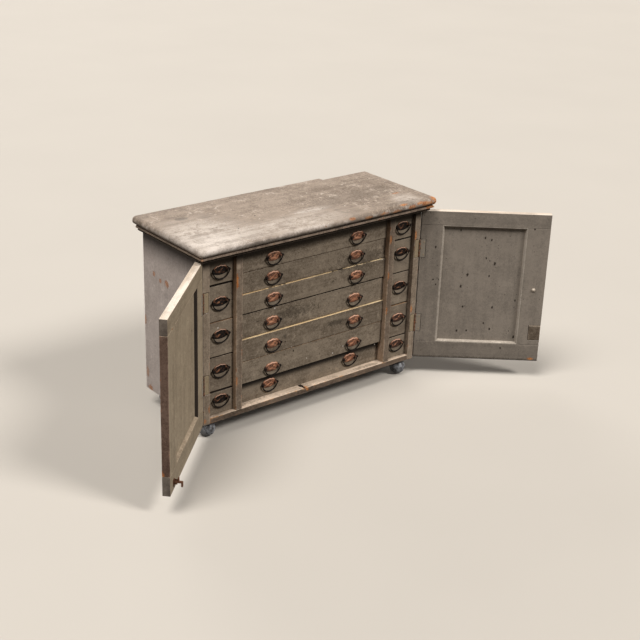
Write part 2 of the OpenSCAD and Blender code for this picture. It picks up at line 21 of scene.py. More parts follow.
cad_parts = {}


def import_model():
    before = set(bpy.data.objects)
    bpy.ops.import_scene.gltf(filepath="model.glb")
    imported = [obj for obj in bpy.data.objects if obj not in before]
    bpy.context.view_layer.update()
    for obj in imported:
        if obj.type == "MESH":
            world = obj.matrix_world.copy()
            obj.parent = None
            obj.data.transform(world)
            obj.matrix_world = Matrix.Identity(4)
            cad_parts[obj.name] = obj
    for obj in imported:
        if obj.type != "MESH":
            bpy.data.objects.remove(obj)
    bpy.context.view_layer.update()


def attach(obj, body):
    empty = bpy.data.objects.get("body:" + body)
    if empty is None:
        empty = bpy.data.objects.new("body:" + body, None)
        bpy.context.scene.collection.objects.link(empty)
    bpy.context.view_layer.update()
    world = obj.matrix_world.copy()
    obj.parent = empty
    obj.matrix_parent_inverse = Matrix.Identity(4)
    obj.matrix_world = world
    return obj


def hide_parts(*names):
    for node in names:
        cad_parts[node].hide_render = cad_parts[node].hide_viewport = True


LOG = logging.getLogger("cabinet")
Triple = tuple[float, float, float]
MM = 0.001
NOISE_SEED = 7
CARCASS_D = 333.0
FRAME = Matrix.Translation((0.0, -CARCASS_D / 2 * MM, 0.0)) @ Matrix.Scale(MM, 4)

# Carcass
HALF_W = 433.0
SIDE_T = 23.0
DIVIDER_T = 23.0
BACK_T = 10.0
BACK_COUNT = 6
INNER_D = CARCASS_D - BACK_T
FLOOR_Z = 60.0
SHELF_Z = 78.0
LINTEL_Z = 602.0
TOP_Z = 622.0
LEFT_X, LEFT_W = -410.0, 97.0
CENTRE_X, CENTRE_W = -290.0, 588.0
RIGHT_X, RIGHT_W = 321.0, 89.0
BACK_PITCH = -2 * LEFT_X / BACK_COUNT

# Drawers, from the top row down
CENTRE_ROWS = (79.0, 69.0, 69.0, 81.0, 76.0, 82.0, 68.0)
SIDE_ROWS = (97.0, 117.0, 116.0, 117.0, 77.0)
FRONT_RECESS = 15.0
SUNK_PUSH = 10.0
FRONT_T = 16.0
DRAWER_D = 280.0
PULL_SPREAD = 167.0
RUNNER_W, RUNNER_H = 5.0, 9.0

# Doors and hinges
DOOR_T = 23.0
DOOR_GAP = 1.5
DOOR_FOOT = 66.0
DOOR_HEAD = 597.0
MEETING_GAP = 3.0
DOOR_W = HALF_W - MEETING_GAP / 2
HINGE_STILE, LOCK_STILE = 73.0, 75.0
TOP_RAIL, BOTTOM_RAIL = 48.0, 60.0
PANEL_T, PANEL_RECESS, BEAD_W = 8.0, 9.0, 8.0
PANEL_NEAR, PANEL_FAR = HINGE_STILE, DOOR_W - LOCK_STILE
PANEL_FOOT, PANEL_HEAD = DOOR_FOOT + BOTTOM_RAIL, DOOR_HEAD - TOP_RAIL
HINGE_OUT = 0.4
HINGE_L = 64.0
LEAF_T, LEAF_W = 2.0, 20.0
KNUCKLE_R = 3.4
RELIEF = 3.4
HINGE_ZS = (195.0, 465.0)
SCREW_IN, SCREW_STAGGER = 10.0, 4.0
SCREW_LIFTS = (-22.0, 0.0, 22.0)
SCREW_R, SCREW_H = 2.6, 0.6
HEAD_OUT = 0.1
CATCH_X = -MEETING_GAP / 2 - 38.0
CATCH_PIN_Y = 8.0 - DOOR_GAP
CATCH_PIN_Z = SHELF_Z + 15.0


# Shader and geometry graphs


class Wire:
    """An output socket that takes part in arithmetic."""

    def __init__(self, graph: Graph, socket: bpy.types.NodeSocket) -> None:
        """Keeps the graph that new nodes go to, and the socket they read."""
        self.graph = graph
        self.socket = socket

    def _math(self, operation: str, *values: Feed) -> Wire:
        """Adds one Math node.

        Args:
            operation: The node's operation.
            values: Its inputs in order.

        Returns:
            The result.
        """
        return self.graph.node("ShaderNodeMath", {"operation": operation}, dict(enumerate(values)))

    def __add__(self, other: Feed) -> Wire:
        """Sum."""
        return self._math("ADD", self, other)

    __radd__ = __add__

    def __sub__(self, other: Feed) -> Wire:
        """Difference."""
        return self._math("SUBTRACT", self, other)

    def __rsub__(self, other: Feed) -> Wire:
        """Reflected difference."""
        return self._math("SUBTRACT", other, self)

    def __mul__(self, other: Feed) -> Wire:
        """Product."""
        return self._math("MULTIPLY", self, other)

    def __truediv__(self, other: Feed) -> Wire:
        """Quotient."""
        return self._math("DIVIDE", self, other)

    def most(self, other: Feed) -> Wire:
        """The larger of the two."""
        return self._math("MAXIMUM", self, other)

    def over(self, level: float) -> Wire:
        """1 where the value is above the level, and 0 elsewhere."""
        return self._math("GREATER_THAN", self, level)

    def rise(self, low: float, high: float) -> Wire:
        """A smooth step.

        Args:
            low: Where it is 0.
            high: Where it is 1.

        Returns:
            The step.
        """
        settings = {"interpolation_type": "SMOOTHSTEP"}
        return self.graph.node("ShaderNodeMapRange", settings, {0: self, 1: low, 2: high, 3: 0.0, 4: 1.0})


Feed = Union[Wire, float, int, bool, str, tuple, Vector, bpy.types.ID]


class Graph:
    """A node tree that is written as expressions."""

    def __init__(self, tree: bpy.types.NodeTree) -> None:
        """Keeps the tree."""
        self.tree = tree

    def node(self, kind: str, settings: dict[str, object] | None = None,
             inputs: dict[int | str, Feed] | None = None, out: int | str = 0) -> Wire:
        """Adds any node.

        Args:
            kind: The node's type.
            settings: Its own settings, which are set first.
            inputs: Values or links by socket.
            out: The output that is returned.

        Returns:
            That output.
        """
        made = self.tree.nodes.new(kind)
        for key, value in (settings or {}).items():
            setattr(made, key, value)
        for key, value in (inputs or {}).items():
            socket = made.inputs[key]
            if isinstance(value, Wire):
                self.tree.links.new(value.socket, socket)
            else:
                socket.default_value = value
        return Wire(self, made.outputs[out])

    def mix(self, first: Feed, second: Feed, part: Feed) -> Wire:
        """Two colours mixed.

        Args:
            first: Colour where part is 0.
            second: Colour where part is 1.
            part: The mask.

        Returns:
            The colour.
        """
        settings = {"data_type": "RGBA", "clamp_factor": True}
        return self.node("ShaderNodeMix", settings, {0: part, 6: first, 7: second}, out=2)

    def seen(self) -> Wire:
        """1 on the rays that show a thing to the eye, in metal or through glass."""
        eye = self.node("ShaderNodeLightPath", out="Is Camera Ray")
        paths = eye.socket.node.outputs
        return eye + Wire(self, paths["Is Glossy Ray"]) + Wire(self, paths["Is Transmission Ray"])


def srgb(red: float, green: float, blue: float) -> tuple[float, float, float, float]:
    """A colour on the screen's 0 to 255 scale as linear red, green, blue and alpha."""
    def line(value: float) -> float:
        """One channel."""
        part = value / 255.0
        return part / 12.92 if part <= 0.04045 else ((part + 0.055) / 1.055) ** 2.4
    return line(red), line(green), line(blue), 1.0


class Recipe(Graph):
    """A material under construction."""

    def __init__(self, name: str) -> None:
        """Makes an empty material with a shader."""
        self.material = bpy.data.materials.new(name)
        self.material.use_nodes = True
        super().__init__(self.material.node_tree)
        self.shader = self.tree.nodes["Principled BSDF"]

    def place(self) -> Wire:
        """Object coordinates, in metres."""
        return self.node("ShaderNodeTexCoord", out="Object")

    def attribute(self, name: str) -> Wire:
        """A vector that the mesh carries."""
        return self.node("ShaderNodeAttribute", {"attribute_name": name}, out="Vector")

    def split(self, vector: Wire) -> tuple[Wire, Wire, Wire]:
        """A vector's three parts."""
        first = self.node("ShaderNodeSeparateXYZ", inputs={0: vector})
        parts = first.socket.node.outputs
        return first, Wire(self, parts[1]), Wire(self, parts[2])

    def stretch(self, vector: Wire, factors: Triple) -> Wire:
        """The vector with each part scaled by its own factor."""
        return self.node("ShaderNodeVectorMath", {"operation": "MULTIPLY"}, {0: vector, 1: factors})

    def cloud(self, vector: Wire, scale: float = 1.0, detail: float = 4.0, rough: float = 0.55,
              warp: float = 0.0) -> Wire:
        """Noise from 0 to 1.

        Args:
            vector: Where it is read.
            scale: Lumps per metre.
            detail: Octaves.
            rough: Weight of the finer octaves.
            warp: Distortion.

        Returns:
            The noise.
        """
        inputs = {"Vector": vector, "Scale": scale, "Detail": detail, "Roughness": rough, "Distortion": warp}
        return self.node("ShaderNodeTexNoise", inputs=inputs)

    def pits(self, vector: Wire, scale: float, radius: float, share: float) -> Wire:
        """Round dots, one in some of the cells.

        Args:
            vector: Where they are read.
            scale: Cells per metre.
            radius: A dot's radius, as part of a cell.
            share: Part of the cells that hold a dot.

        Returns:
            1 in a dot, and 0 elsewhere.
        """
        far = self.node("ShaderNodeTexVoronoi", inputs={"Vector": vector, "Scale": scale})
        pick = self.split(Wire(self, far.socket.node.outputs["Color"]))[0]
        return (1 - far.rise(radius * 0.55, radius)) * pick.over(1.0 - share)

    def spot(self, place: Wire, centre: Triple, radius: float, shape: Triple, ragged: Wire, fray: float) -> Wire:
        """A ragged patch round a point.

        Args:
            place: Object coordinates.
            centre: The point, in the source's millimetres.
            radius: Radius in millimetres.
            shape: How much narrower it is along each axis.
            ragged: Noise that frays its rim.
            fray: How much.

        Returns:
            1 in the patch, and 0 elsewhere.
        """
        point = FRAME @ Vector(centre)
        away = self.node("ShaderNodeVectorMath", {"operation": "SUBTRACT"}, {0: place, 1: point})
        far = self.node("ShaderNodeVectorMath", {"operation": "LENGTH"}, {0: self.stretch(away, shape)}, out="Value")
        frayed = far / (radius * MM) + (ragged - 0.5) * fray
        return 1 - frayed.rise(0.55, 1.0)

    def finish(self, colour: Feed, rough: Feed, height: Wire | None = None, depth: float = 0.0004,
               metal: Feed = 0.0, shine: float = 0.35) -> bpy.types.Material:
        """Feeds the shader.

        Args:
            colour: Base colour.
            rough: Roughness.
            height: Relief from 0 to 1.
            depth: Relief in metres.
            metal: Metallic.
            shine: Specular level.

        Returns:
            The finished material.
        """
        feeds = {"Base Color": colour, "Roughness": rough, "Metallic": metal}
        for key, value in feeds.items():
            if isinstance(value, Wire):
                self.tree.links.new(value.socket, self.shader.inputs[key])
            else:
                self.shader.inputs[key].default_value = value
        self.shader.inputs["Specular IOR Level"].default_value = shine
        if height is not None:
            bump = self.node("ShaderNodeBump", inputs={"Strength": 0.8, "Distance": depth, "Height": height})
            self.tree.links.new(bump.socket, self.shader.inputs["Normal"])
        return self.material


# Finishes

# Near black: grime at board ends, and painted shade under the nose, in the moulding's cove and in the bands under
# overhangs.
SOOT_AND_SHADE = (20, 16, 14)
HOLE = (34, 26, 22)
CRACK = (52, 43, 36)
FLECK = (226, 220, 212)
EMBER_DARK, EMBER_LIGHT = (146, 80, 42), (226, 156, 92)
ROUND = (1.0, 1.0, 1.0)
ALONG_X = (0.3, 1.0, 1.0)
ALONG_Z = (1.0, 1.0, 0.4)


class Mark(Enum):
    """What shows in a patch of wear."""

    ORANGE = "bare orange wood"
    # Pale patches are rubbed paint; on the top's front-left, its nose and the ledge they are painted light as well.
    PALE = "paint rubbed pale"
    # Dark patches are grime; those at the right door's foot only darken it towards its foot.
    DARK = "grime"
    HOLE = "a nail's hole"


@dataclass(frozen=True)
class Patch:
    """A patch of wear at a point of the cabinet, in millimetres."""

    mark: Mark
    centre: Triple
    radius: float
    strength: float = 0.8
    shape: Triple = ROUND
    fray: float = 4.4


def marks(mark: Mark, shape: Triple, *spots: tuple[float, ...]) -> tuple[Patch, ...]:
    """Patches of one kind.

    Args:
        mark: What shows in them.
        shape: How much narrower they are along each axis.
        spots: The middle, the radius and the strength of each.

    Returns:
        The patches in order.
    """
    return tuple(Patch(mark, spot[:3], *spot[3:], shape) for spot in spots)


class GrainFrom(Enum):
    """What gives a board its grain's direction."""

    BOARD = "the mesh"
    ALONG_Y = "object coordinates, along Y"


@dataclass(frozen=True)
class PaintedWood:
    """Old paint on wood, rubbed through at the edges, with a band of painted shade, and some grime, that thickens
    from one height to another.
    """

    name: str
    paint: Triple
    paint_dark: Triple
    wood: Triple = (176, 122, 74)
    wood_dark: Triple = (112, 70, 42)
    wear: float = 0.3
    grime: float = 0.3
    streaks: float = 0.5
    pitting: float = 0.15
    dust: float = 0.3
    flecks: float = 0.0
    gloss: float = 0.62
    scuffs: float = 0.35
    # The pale colour of rubbed paint and dust, also used for painted highlights.
    haze: Triple | None = None
    # Heights in millimetres where the painted shade starts and where it is full, and its strength.
    painted_shade_band: tuple[float, float, float] = (0.0, 1.0, 0.0)
    shine: float = 0.1
    patches: tuple[Patch, ...] = ()

    def material(self) -> bpy.types.Material:
        """Builds the finish."""
        recipe = Recipe(self.name)
        grain = recipe.attribute("grain")
        edge, end, tone = recipe.split(recipe.attribute("wear"))
        place = recipe.place()
        fibre = recipe.cloud(recipe.stretch(grain, (9.0, 420.0, 420.0)), detail=3.0, rough=0.6)
        streak = recipe.cloud(recipe.stretch(grain, (2.2, 46.0, 46.0)), detail=5.0, rough=0.6)
        blotch = recipe.cloud(place, 9.0, 6.0, 0.62)
        smear = recipe.cloud(place, 27.0, 5.0, 0.65, 0.6)
        speck = recipe.cloud(place, 125.0, 5.0, 0.72)
        grit = recipe.cloud(place, 330.0, 2.0, 0.6)
        shade = ((blotch - 0.5) * 0.45 + (streak - 0.5) * (self.streaks * 0.9) + (smear - 0.5) * 0.4
                 + (speck - 0.5) * 0.55 + (grit - 0.5) * 0.45 + tone * 0.06)
        coat = recipe.mix(srgb(*self.paint_dark), srgb(*self.paint), shade.rise(-0.22, 0.22))
        pale = srgb(*(self.haze or (min(255.0, c * 1.16 + 10) for c in self.paint)))
        dusty = (smear + speck * 0.5 - 0.25).rise(0.56, 0.8) * self.dust
        rub = (edge * 0.55 + (smear - 0.5) * 0.8 + (speck - 0.5) * 0.5 + self.wear * 0.3 - 0.48).rise(0.0, 0.3)
        rubbed = recipe.mix(coat, pale, dusty.most(rub * 0.6))
        dirty = ((blotch - 0.5) * 0.7 + (streak - 0.5) * 0.4 + (speck - 0.5) * 0.5 + end * 0.12 - 0.06).rise(0.0, 0.2)
        grimed = recipe.mix(rubbed, srgb(*(c * 0.5 for c in self.paint_dark)), dirty * self.grime)
        # The second wear channel is a board's nearness to its end grain, where grime gathers; on the top's nose and
        # the moulding it carries painted shade, which this mask turns near black.
        shade_and_soot = (end + (speck - 0.5) * 1.4 + (blotch - 0.5) * 1.2 - 1.0).rise(0.0, 1.3)
        grimed = recipe.mix(grimed, srgb(*SOOT_AND_SHADE), shade_and_soot * 0.97)
        scuff = recipe.cloud(recipe.stretch(place, (1.0, 1.0, 1.6)), 46.0, 8.0, 0.74, 1.2)
        grimed = recipe.mix(grimed, srgb(*(c * 0.55 for c in self.paint_dark)), scuff.rise(0.58, 0.68) * self.scuffs)
        grimed = recipe.mix(grimed, pale, (1 - scuff.rise(0.3, 0.4)) * self.scuffs)
        wood = recipe.mix(srgb(*self.wood_dark), srgb(*self.wood), (streak * 0.6 + fibre * 0.4).rise(0.36, 0.64))
        ember = recipe.mix(srgb(*EMBER_DARK), srgb(*EMBER_LIGHT), (speck * 0.5 + grit * 0.5).rise(0.38, 0.62))
        chip = edge * 0.5 + (smear - 0.5) * 1.2 + (speck - 0.5) * 0.8 + self.wear * 0.3 - 0.72
        bare = chip.rise(0.0, 0.1)
        ragged = smear * 0.3 + speck * 0.4 + grit * 0.3
        veil = (smear * 0.4 + streak * 0.25 + speck * 0.35).rise(0.42, 0.58) * 0.75 + 0.25
        colour = recipe.mix(grimed, wood, bare)
        for patch in self.patches:
            mask = recipe.spot(place, patch.centre, patch.radius, patch.shape, ragged, patch.fray) * patch.strength
            if patch.mark is Mark.ORANGE:
                bare = bare.most(mask)
                colour = recipe.mix(colour, recipe.mix(wood, ember, 0.75), mask)
            elif patch.mark is Mark.PALE:
                colour = recipe.mix(colour, pale, mask * veil)
            elif patch.mark is Mark.DARK:
                colour = recipe.mix(colour, srgb(*(c * 0.4 for c in self.paint_dark)), mask)
            else:
                colour = recipe.mix(colour, srgb(*HOLE), mask)
        # Painted shade: the paint darkens towards near black from one height up to another, as under the top's
        # overhang.
        if self.painted_shade_band[2] > 0:
            low, high, thick = self.painted_shade_band
            lift = (recipe.split(place)[2] - low * MM) / ((high - low) * MM) + (smear - 0.5) * 0.3
            colour = recipe.mix(colour, srgb(*SOOT_AND_SHADE), lift.rise(0.0, 1.0) * thick)
        holes = recipe.pits(recipe.stretch(place, (1.0, 1.0, 0.7)), 27.0, 0.09, self.pitting)
        nicks = recipe.pits(place, 70.0, 0.16, self.pitting * 0.5)
        colour = recipe.mix(colour, srgb(*HOLE), holes.most(nicks * 0.55))
        colour = recipe.mix(colour, srgb(*FLECK), recipe.pits(place, 46.0, 0.13, self.flecks) * 0.8)
        rough = self.gloss + (smear - 0.5) * 0.25 + bare * 0.12
        height = fibre * 0.25 + speck * 0.2 + streak * 0.2 - bare * 0.3 - holes * 0.6 + 0.5
        return recipe.finish(colour, rough, height, 0.0009, shine=self.shine)


@dataclass(frozen=True)
class BareWood:
    """Unpainted wood, aged."""

    name: str
    light: Triple
    dark: Triple
    grime: float = 0.3
    broken: float = 0.0
    source: GrainFrom = GrainFrom.BOARD

    def material(self) -> bpy.types.Material:
        """Builds the finish."""
        recipe = Recipe(self.name)
        place = recipe.place()
        if self.source is GrainFrom.BOARD:
            long, fine = (2.4, 34.0, 34.0), (10.0, 420.0, 420.0)
            grain = recipe.attribute("grain")
        else:
            long, fine = (34.0, 2.4, 34.0), (420.0, 10.0, 420.0)
            grain = place
        fibre = recipe.cloud(recipe.stretch(grain, fine), detail=3.0, rough=0.6)
        streak = recipe.cloud(recipe.stretch(grain, long), detail=4.0, rough=0.55, warp=0.4)
        stain = recipe.cloud(place, 11.0, 5.0, 0.6)
        speck = recipe.cloud(place, 240.0, 3.0, 0.7)
        tint = recipe.mix(srgb(*self.dark), srgb(*self.light), (streak * 0.7 + fibre * 0.3).rise(0.34, 0.66))
        dirty = (stain * 0.7 + speck * 0.3 - 0.5).rise(-0.04, 0.16) * self.grime
        colour = recipe.mix(tint, srgb(*(c * 0.55 for c in self.dark)), dirty)
        gaps = recipe.cloud(place, 21.0, 4.0, 0.7) + self.broken * 0.5 - 0.75
        colour = recipe.mix(colour, srgb(*CRACK), gaps.rise(-0.05, 0.05))
        height = fibre * 0.6 + streak * 0.3 + speck * 0.1
        return recipe.finish(colour, 0.72 + (stain - 0.5) * 0.2, height, 0.0004, shine=0.25)


@dataclass(frozen=True)
class OldMetal:
    """Iron or copper with rust; plates also get dark patina in their hollows and a painted highlight on their
    brightest parts.
    """

    name: str
    metal: Triple
    rust: Triple
    rusting: float = 0.45
    metallic: float = 0.1
    rough: float = 0.5
    lump: float = 190.0
    shine: float = 0.5
    hollow: Triple | None = None

    def material(self) -> bpy.types.Material:
        """Builds the finish."""
        recipe = Recipe(self.name)
        place = recipe.place()
        stain = recipe.cloud(place, self.lump, 5.0, 0.65)
        grit = recipe.cloud(place, 1400.0, 3.0, 0.7)
        spread = recipe.cloud(place, 42.0, 4.0, 0.6)
        rusty = (stain * 0.6 + spread * 0.5 + grit * 0.2 + self.rusting * 0.5 - 0.9).rise(-0.08, 0.14)
        colour = recipe.mix(srgb(*self.metal), srgb(*self.rust), rusty)
        pocked = (grit * 0.5 + stain * 0.5).rise(0.52, 0.72) * 0.6
        shaded = recipe.mix(colour, srgb(*(c * 0.45 for c in self.rust)), pocked)
        if self.hollow is not None:
            # On plates the first wear channel is their brightness from the pull, not their height.
            raised = recipe.split(recipe.attribute("wear"))[0]
            sunk = 1 - (raised + (stain - 0.5) * 1.7).rise(0.12, 0.78)
            shaded = recipe.mix(shaded, srgb(*self.hollow), sunk)
            # Painted highlight: the brightest parts of a plate are lightened towards white.
            lit = (raised + (stain - 0.5) * 0.8 - 1.0).rise(0.0, 0.6)
            shaded = recipe.mix(shaded, srgb(*(c * 0.7 + 104 for c in self.metal)), lit)
        metallic = (1 - rusty) * self.metallic
        rough = self.rough + rusty * 0.3 + (grit - 0.5) * 0.2
        return recipe.finish(shaded, rough, stain * 0.6 + grit * 0.4, 0.0003, metallic, self.shine)


@dataclass(frozen=True)
class PlainFloor:
    """A pale matt floor that throws little light back up."""

    name: str
    tint: Triple
    bounce: Triple

    def material(self) -> bpy.types.Material:
        """Builds the finish."""
        recipe = Recipe(self.name)
        place = recipe.place()
        veil = recipe.cloud(place, 1.3, 3.0, 0.5)
        shown = recipe.mix(srgb(*(c * 0.97 for c in self.tint)), srgb(*self.tint), veil)
        colour = recipe.mix(srgb(*self.bounce), shown, recipe.seen())
        return recipe.finish(colour, 0.85, shine=0.2)


class Shelf:
    """The finishes, each built once."""

    def __init__(self) -> None:
        """Starts with none built."""
        self.built: dict[str, bpy.types.Material] = {}

    def take(self, finish: Finish) -> bpy.types.Material:
        """The finish's material, made on first use."""
        if finish.name not in self.built:
            self.built[finish.name] = finish.material()
        return self.built[finish.name]


Finish = Union[PaintedWood, BareWood, OldMetal, PlainFloor]
SHELF = Shelf()

TOP_PAINT = PaintedWood(
    "top_paint", (164, 149, 135), (108, 95, 84), wood=(172, 122, 76), streaks=0.35, pitting=0.12, dust=0.5,
    flecks=0.14, gloss=0.66, scuffs=0.4, haze=(213, 203, 194),
    # The first two pale patches lighten the top's front-left: rubbed paint, and a painted pool of light.
    patches=marks(Mark.PALE, ROUND, (-380, 60, 648, 190, 0.6), (-400, -25, 648, 110, 0.7))
    + marks(Mark.PALE, ALONG_X, (-120, 10, 648, 90, 0.4), (30, 84, 648, 26, 0.6))
    + marks(Mark.PALE, ROUND, (366, 10, 648, 60, 0.4))
    + marks(Mark.DARK, (0.6, 1.0, 1.0), (-356, 235, 648, 16, 0.4))
    # The next two pale patches are painted highlights along the nose's front.
    + marks(Mark.PALE, (0.16, 1.0, 1.6), (-400, -41, 640, 18, 0.8))
    + marks(Mark.PALE, (0.1, 1.0, 1.6), (-80, -38, 642, 12, 0.6))
    + marks(Mark.DARK, (0.25, 1.0, 6.0), (-250, -40, 634, 30, 0.4))
    + marks(Mark.DARK, ALONG_X, (250, 120, 648, 70, 0.2), (330, -20, 648, 22, 0.3))
    + marks(Mark.ORANGE, ROUND, (458, -30, 641, 20, 0.9))
    + marks(Mark.PALE, ROUND, (461, -26, 646, 9, 0.8))
    + marks(Mark.ORANGE, ALONG_X, (386, -36, 640, 6, 0.7), (318, -32, 645, 6, 0.7), (232, -38, 634, 6, 0.6),
            (100, -37, 640, 5, 0.6), (376, 70, 648, 6, 0.5), (165, -40, 632, 6, 0.6), (284, -41, 631, 7, 0.6),
            (352, -40, 634, 7, 0.7), (420, -39, 636, 8, 0.7)))
MOULDING_PAINT = PaintedWood(
    "moulding_paint", (142, 125, 110), (90, 76, 66), wood=(150, 104, 68), grime=0.4,
    patches=marks(Mark.ORANGE, ROUND, (-456, -30, 614, 7, 0.3))
    + marks(Mark.ORANGE, ALONG_X, (446, -30, 614, 10, 0.7)))
SIDE_PAINT = PaintedWood(
    "side_paint", (206, 194, 187), (176, 164, 157), wood=(160, 108, 68), streaks=0.4, pitting=0.14, dust=0.35,
    # painted shade on the sides under the moulding
    painted_shade_band=(500.0, 594.0, 0.75),
    patches=marks(Mark.ORANGE, ROUND, (-433, 198, 464, 14, 0.7), (-433, 236, 462, 8, 0.6), (-433, 272, 474, 9, 0.6))
    + marks(Mark.ORANGE, ALONG_Z, (-433, 330, 300, 8, 0.6))
    + marks(Mark.ORANGE, ROUND, (-433, 306, 66, 14, 0.7))
    + marks(Mark.ORANGE, ALONG_Z, (-433, 322, 120, 9, 0.5)))
UPRIGHT_PAINT = PaintedWood(
    "upright_paint", (146, 131, 115), (102, 88, 76), wood=(160, 98, 58), wear=0.4, grime=0.45,
    # painted shade under the top's overhang
    painted_shade_band=(552.0, 590.0, 0.92),
    patches=marks(Mark.ORANGE, ALONG_Z, (-313, 2, 511, 11, 1.0), (-313, 2, 178, 10, 0.8))
    + marks(Mark.PALE, ROUND, (-306, 0, 556, 12, 0.8))
    + marks(Mark.ORANGE, ALONG_Z, (299, 2, 395, 7, 0.8), (299, 2, 268, 7, 0.8), (301, 0, 520, 8, 0.7)))
STILE_PAINT = PaintedWood(
    "stile_paint", (158, 143, 126), (116, 102, 88), wood=(166, 104, 62), wear=0.4, grime=0.4, dust=0.35,
    # painted shade under the top's overhang
    painted_shade_band=(556.0, 592.0, 0.9),
    patches=marks(Mark.ORANGE, ROUND, (-430, 0, 74, 9, 0.6))
    + marks(Mark.ORANGE, ALONG_Z, (-411, 0, 110, 6, 0.5), (412, 0, 512, 9, 0.8), (414, 0, 250, 7, 0.7)))
# The ledge's top is painted far lighter than its front: worn paint, and painted light on the face that looks up; the
# front's darker paint is grime and painted shade.
LEDGE_PAINT = PaintedWood(
    "ledge_paint", (194, 175, 156), (108, 94, 81), wood=(216, 180, 140), wood_dark=(150, 112, 78), wear=0.7,
    grime=0.5, streaks=1.0, pitting=0.1, dust=0.5, scuffs=0.6,
    patches=marks(Mark.ORANGE, ROUND, (-34, 4, 77, 9, 0.8))
    + marks(Mark.PALE, ALONG_X, (-220, 6, 78, 44, 0.7), (20, 4, 78, 12, 0.9), (230, 6, 78, 40, 0.7)))
LEDGE_FRONT = PaintedWood(
    "ledge_front", (120, 104, 90), (70, 59, 50), wood=(190, 150, 110), wood_dark=(140, 100, 68), wear=0.55,
    grime=0.6, streaks=0.9, scuffs=0.6,
    patches=marks(Mark.ORANGE, ROUND, (-30, 0, 72, 7, 0.8)))
# Painted light: the dividers' sides are painted lighter than their fronts, to lift their shade beside the drawers;
# the band is painted shade under the overhang.
RECESS_PAINT = PaintedWood(
    "recess_paint", (196, 170, 146), (150, 128, 108), wood=(160, 98, 58), wear=0.4, grime=0.45, dust=0.25,
    painted_shade_band=(552.0, 590.0, 0.92))
# Painted highlight: the beads are painted lighter than the doors, so their slopes show as bright lines.
BEAD_PAINT = PaintedWood(
    "bead_paint", (178, 168, 156), (142, 133, 123), wear=0.1, grime=0.2, streaks=0.3, pitting=0.1, dust=0.2)
LEFT_BEAD_PAINT = PaintedWood("left_bead_paint", (188, 170, 148), (146, 130, 111), wear=0.2, pitting=0.1)
DRAWER_PAINT = PaintedWood(
    "drawer_paint", (142, 129, 113), (92, 81, 69), wood=(190, 150, 104), wear=0.05, grime=0.6, streaks=0.6,
    # the last band is painted shade under the top's overhang
    pitting=0.2, dust=0.4, flecks=0.05, scuffs=0.75, painted_shade_band=(550.0, 585.0, 0.82),
    patches=marks(Mark.DARK, ALONG_X, (-73, 16, 350, 26, 0.4), (90, 16, 271, 12, 0.5))
    + marks(Mark.DARK, ROUND, (-114, 16, 276, 9, 0.5))
    + marks(Mark.DARK, ALONG_X, (200, 16, 470, 40, 0.3)))
SMALL_PAINT = replace(
    DRAWER_PAINT, name="small_drawer_paint", paint=(146, 133, 117), paint_dark=(108, 96, 83), scuffs=0.5)
# The sunk drawer's front gets painted shade across its top, under the drawer above.
SUNK_PAINT = replace(DRAWER_PAINT, name="sunk_paint", painted_shade_band=(118.0, 139.0, 0.95))
LEFT_DOOR_PAINT = PaintedWood(
    "left_door_paint", (164, 149, 128), (132, 119, 101), wear=0.1, grime=0.25, streaks=0.6, pitting=0.12,
    scuffs=0.25)
RIGHT_DOOR_PAINT = PaintedWood(
    "right_door_paint", (146, 136, 125), (120, 112, 103), wear=-0.3, grime=0.2, pitting=0.5, dust=0.1,
    scuffs=0.25,
    patches=tuple(Patch(Mark.HOLE, (x, y, z), r * 0.92, 0.9, (1.0, 1.0, 0.62), 3.0) for x, y, z, r in (
        (637, -159, 416, 5.0), (569, -102, 373, 4.6), (640, -161, 258, 4.6), (638, -160, 176, 4.0),
        (554, -89, 330, 4.4), (563, -97, 256, 3.4), (607, -134, 506, 3.4), (624, -148, 500, 4.0),
        (614, -140, 434, 3.2), (625, -149, 371, 3.4), (621, -145, 198, 3.2), (698, -210, 285, 3.2),
        (552, -88, 166, 4.0), (703, -214, 150, 4.0), (474, -35, 354, 3.6), (489, -48, 356, 3.4),
        (482, -41, 338, 3.0), (475, -36, 471, 3.8), (491, -49, 464, 3.2), (664, -195, 111, 4.0)))
    # The next two dark patches darken the door towards its foot.
    + (Patch(Mark.DARK, (598, -139, 60), 300, 0.6, (0.3, 0.3, 18.0), 1.5),
       Patch(Mark.DARK, (598, -139, 96), 300, 0.2, (0.5, 0.5, 7.0), 1.5),
       Patch(Mark.ORANGE, (745, -263, 74), 9, 0.9, (0.7, 0.7, 1.4))))
DOOR_OUTSIDE = PaintedWood(
    "door_outside", (156, 148, 143), (122, 114, 109), wood=(160, 108, 68), streaks=0.4, pitting=0.12)
EDGE_BROWN = PaintedWood(
    "edge_brown", (116, 95, 83), (80, 63, 54), wood=(160, 104, 60), grime=0.45, streaks=0.7, dust=0.25,
    patches=marks(Mark.ORANGE, ALONG_Z, (-759, -283, 122, 8, 0.8))
    + marks(Mark.ORANGE, ROUND, (748, -267, 68, 12, 0.8)))
END_GREY = BareWood("end_grey", (122, 112, 102), (88, 78, 70), grime=0.4)
# Pale bare wood on the doors' top edges and the block's top and splinter: worn wood, lightened as a painted highlight
# on faces that look up.
PALE_EDGE = BareWood("pale_edge", (230, 217, 203), (192, 174, 155), grime=0.35)
# Near white bare wood on the top edges of drawer fronts that stand out: wood, brightened as a painted highlight.
CREAM_EDGE = BareWood("cream_edge", (252, 232, 192), (222, 190, 144), grime=0.2, broken=0.1)
BROKEN_EDGE = BareWood("broken_edge", (248, 226, 186), (210, 176, 130), grime=0.25, broken=0.35)
TAN_EDGE = BareWood("tan_edge", (160, 126, 94), (98, 73, 53), grime=0.4, broken=0.2)
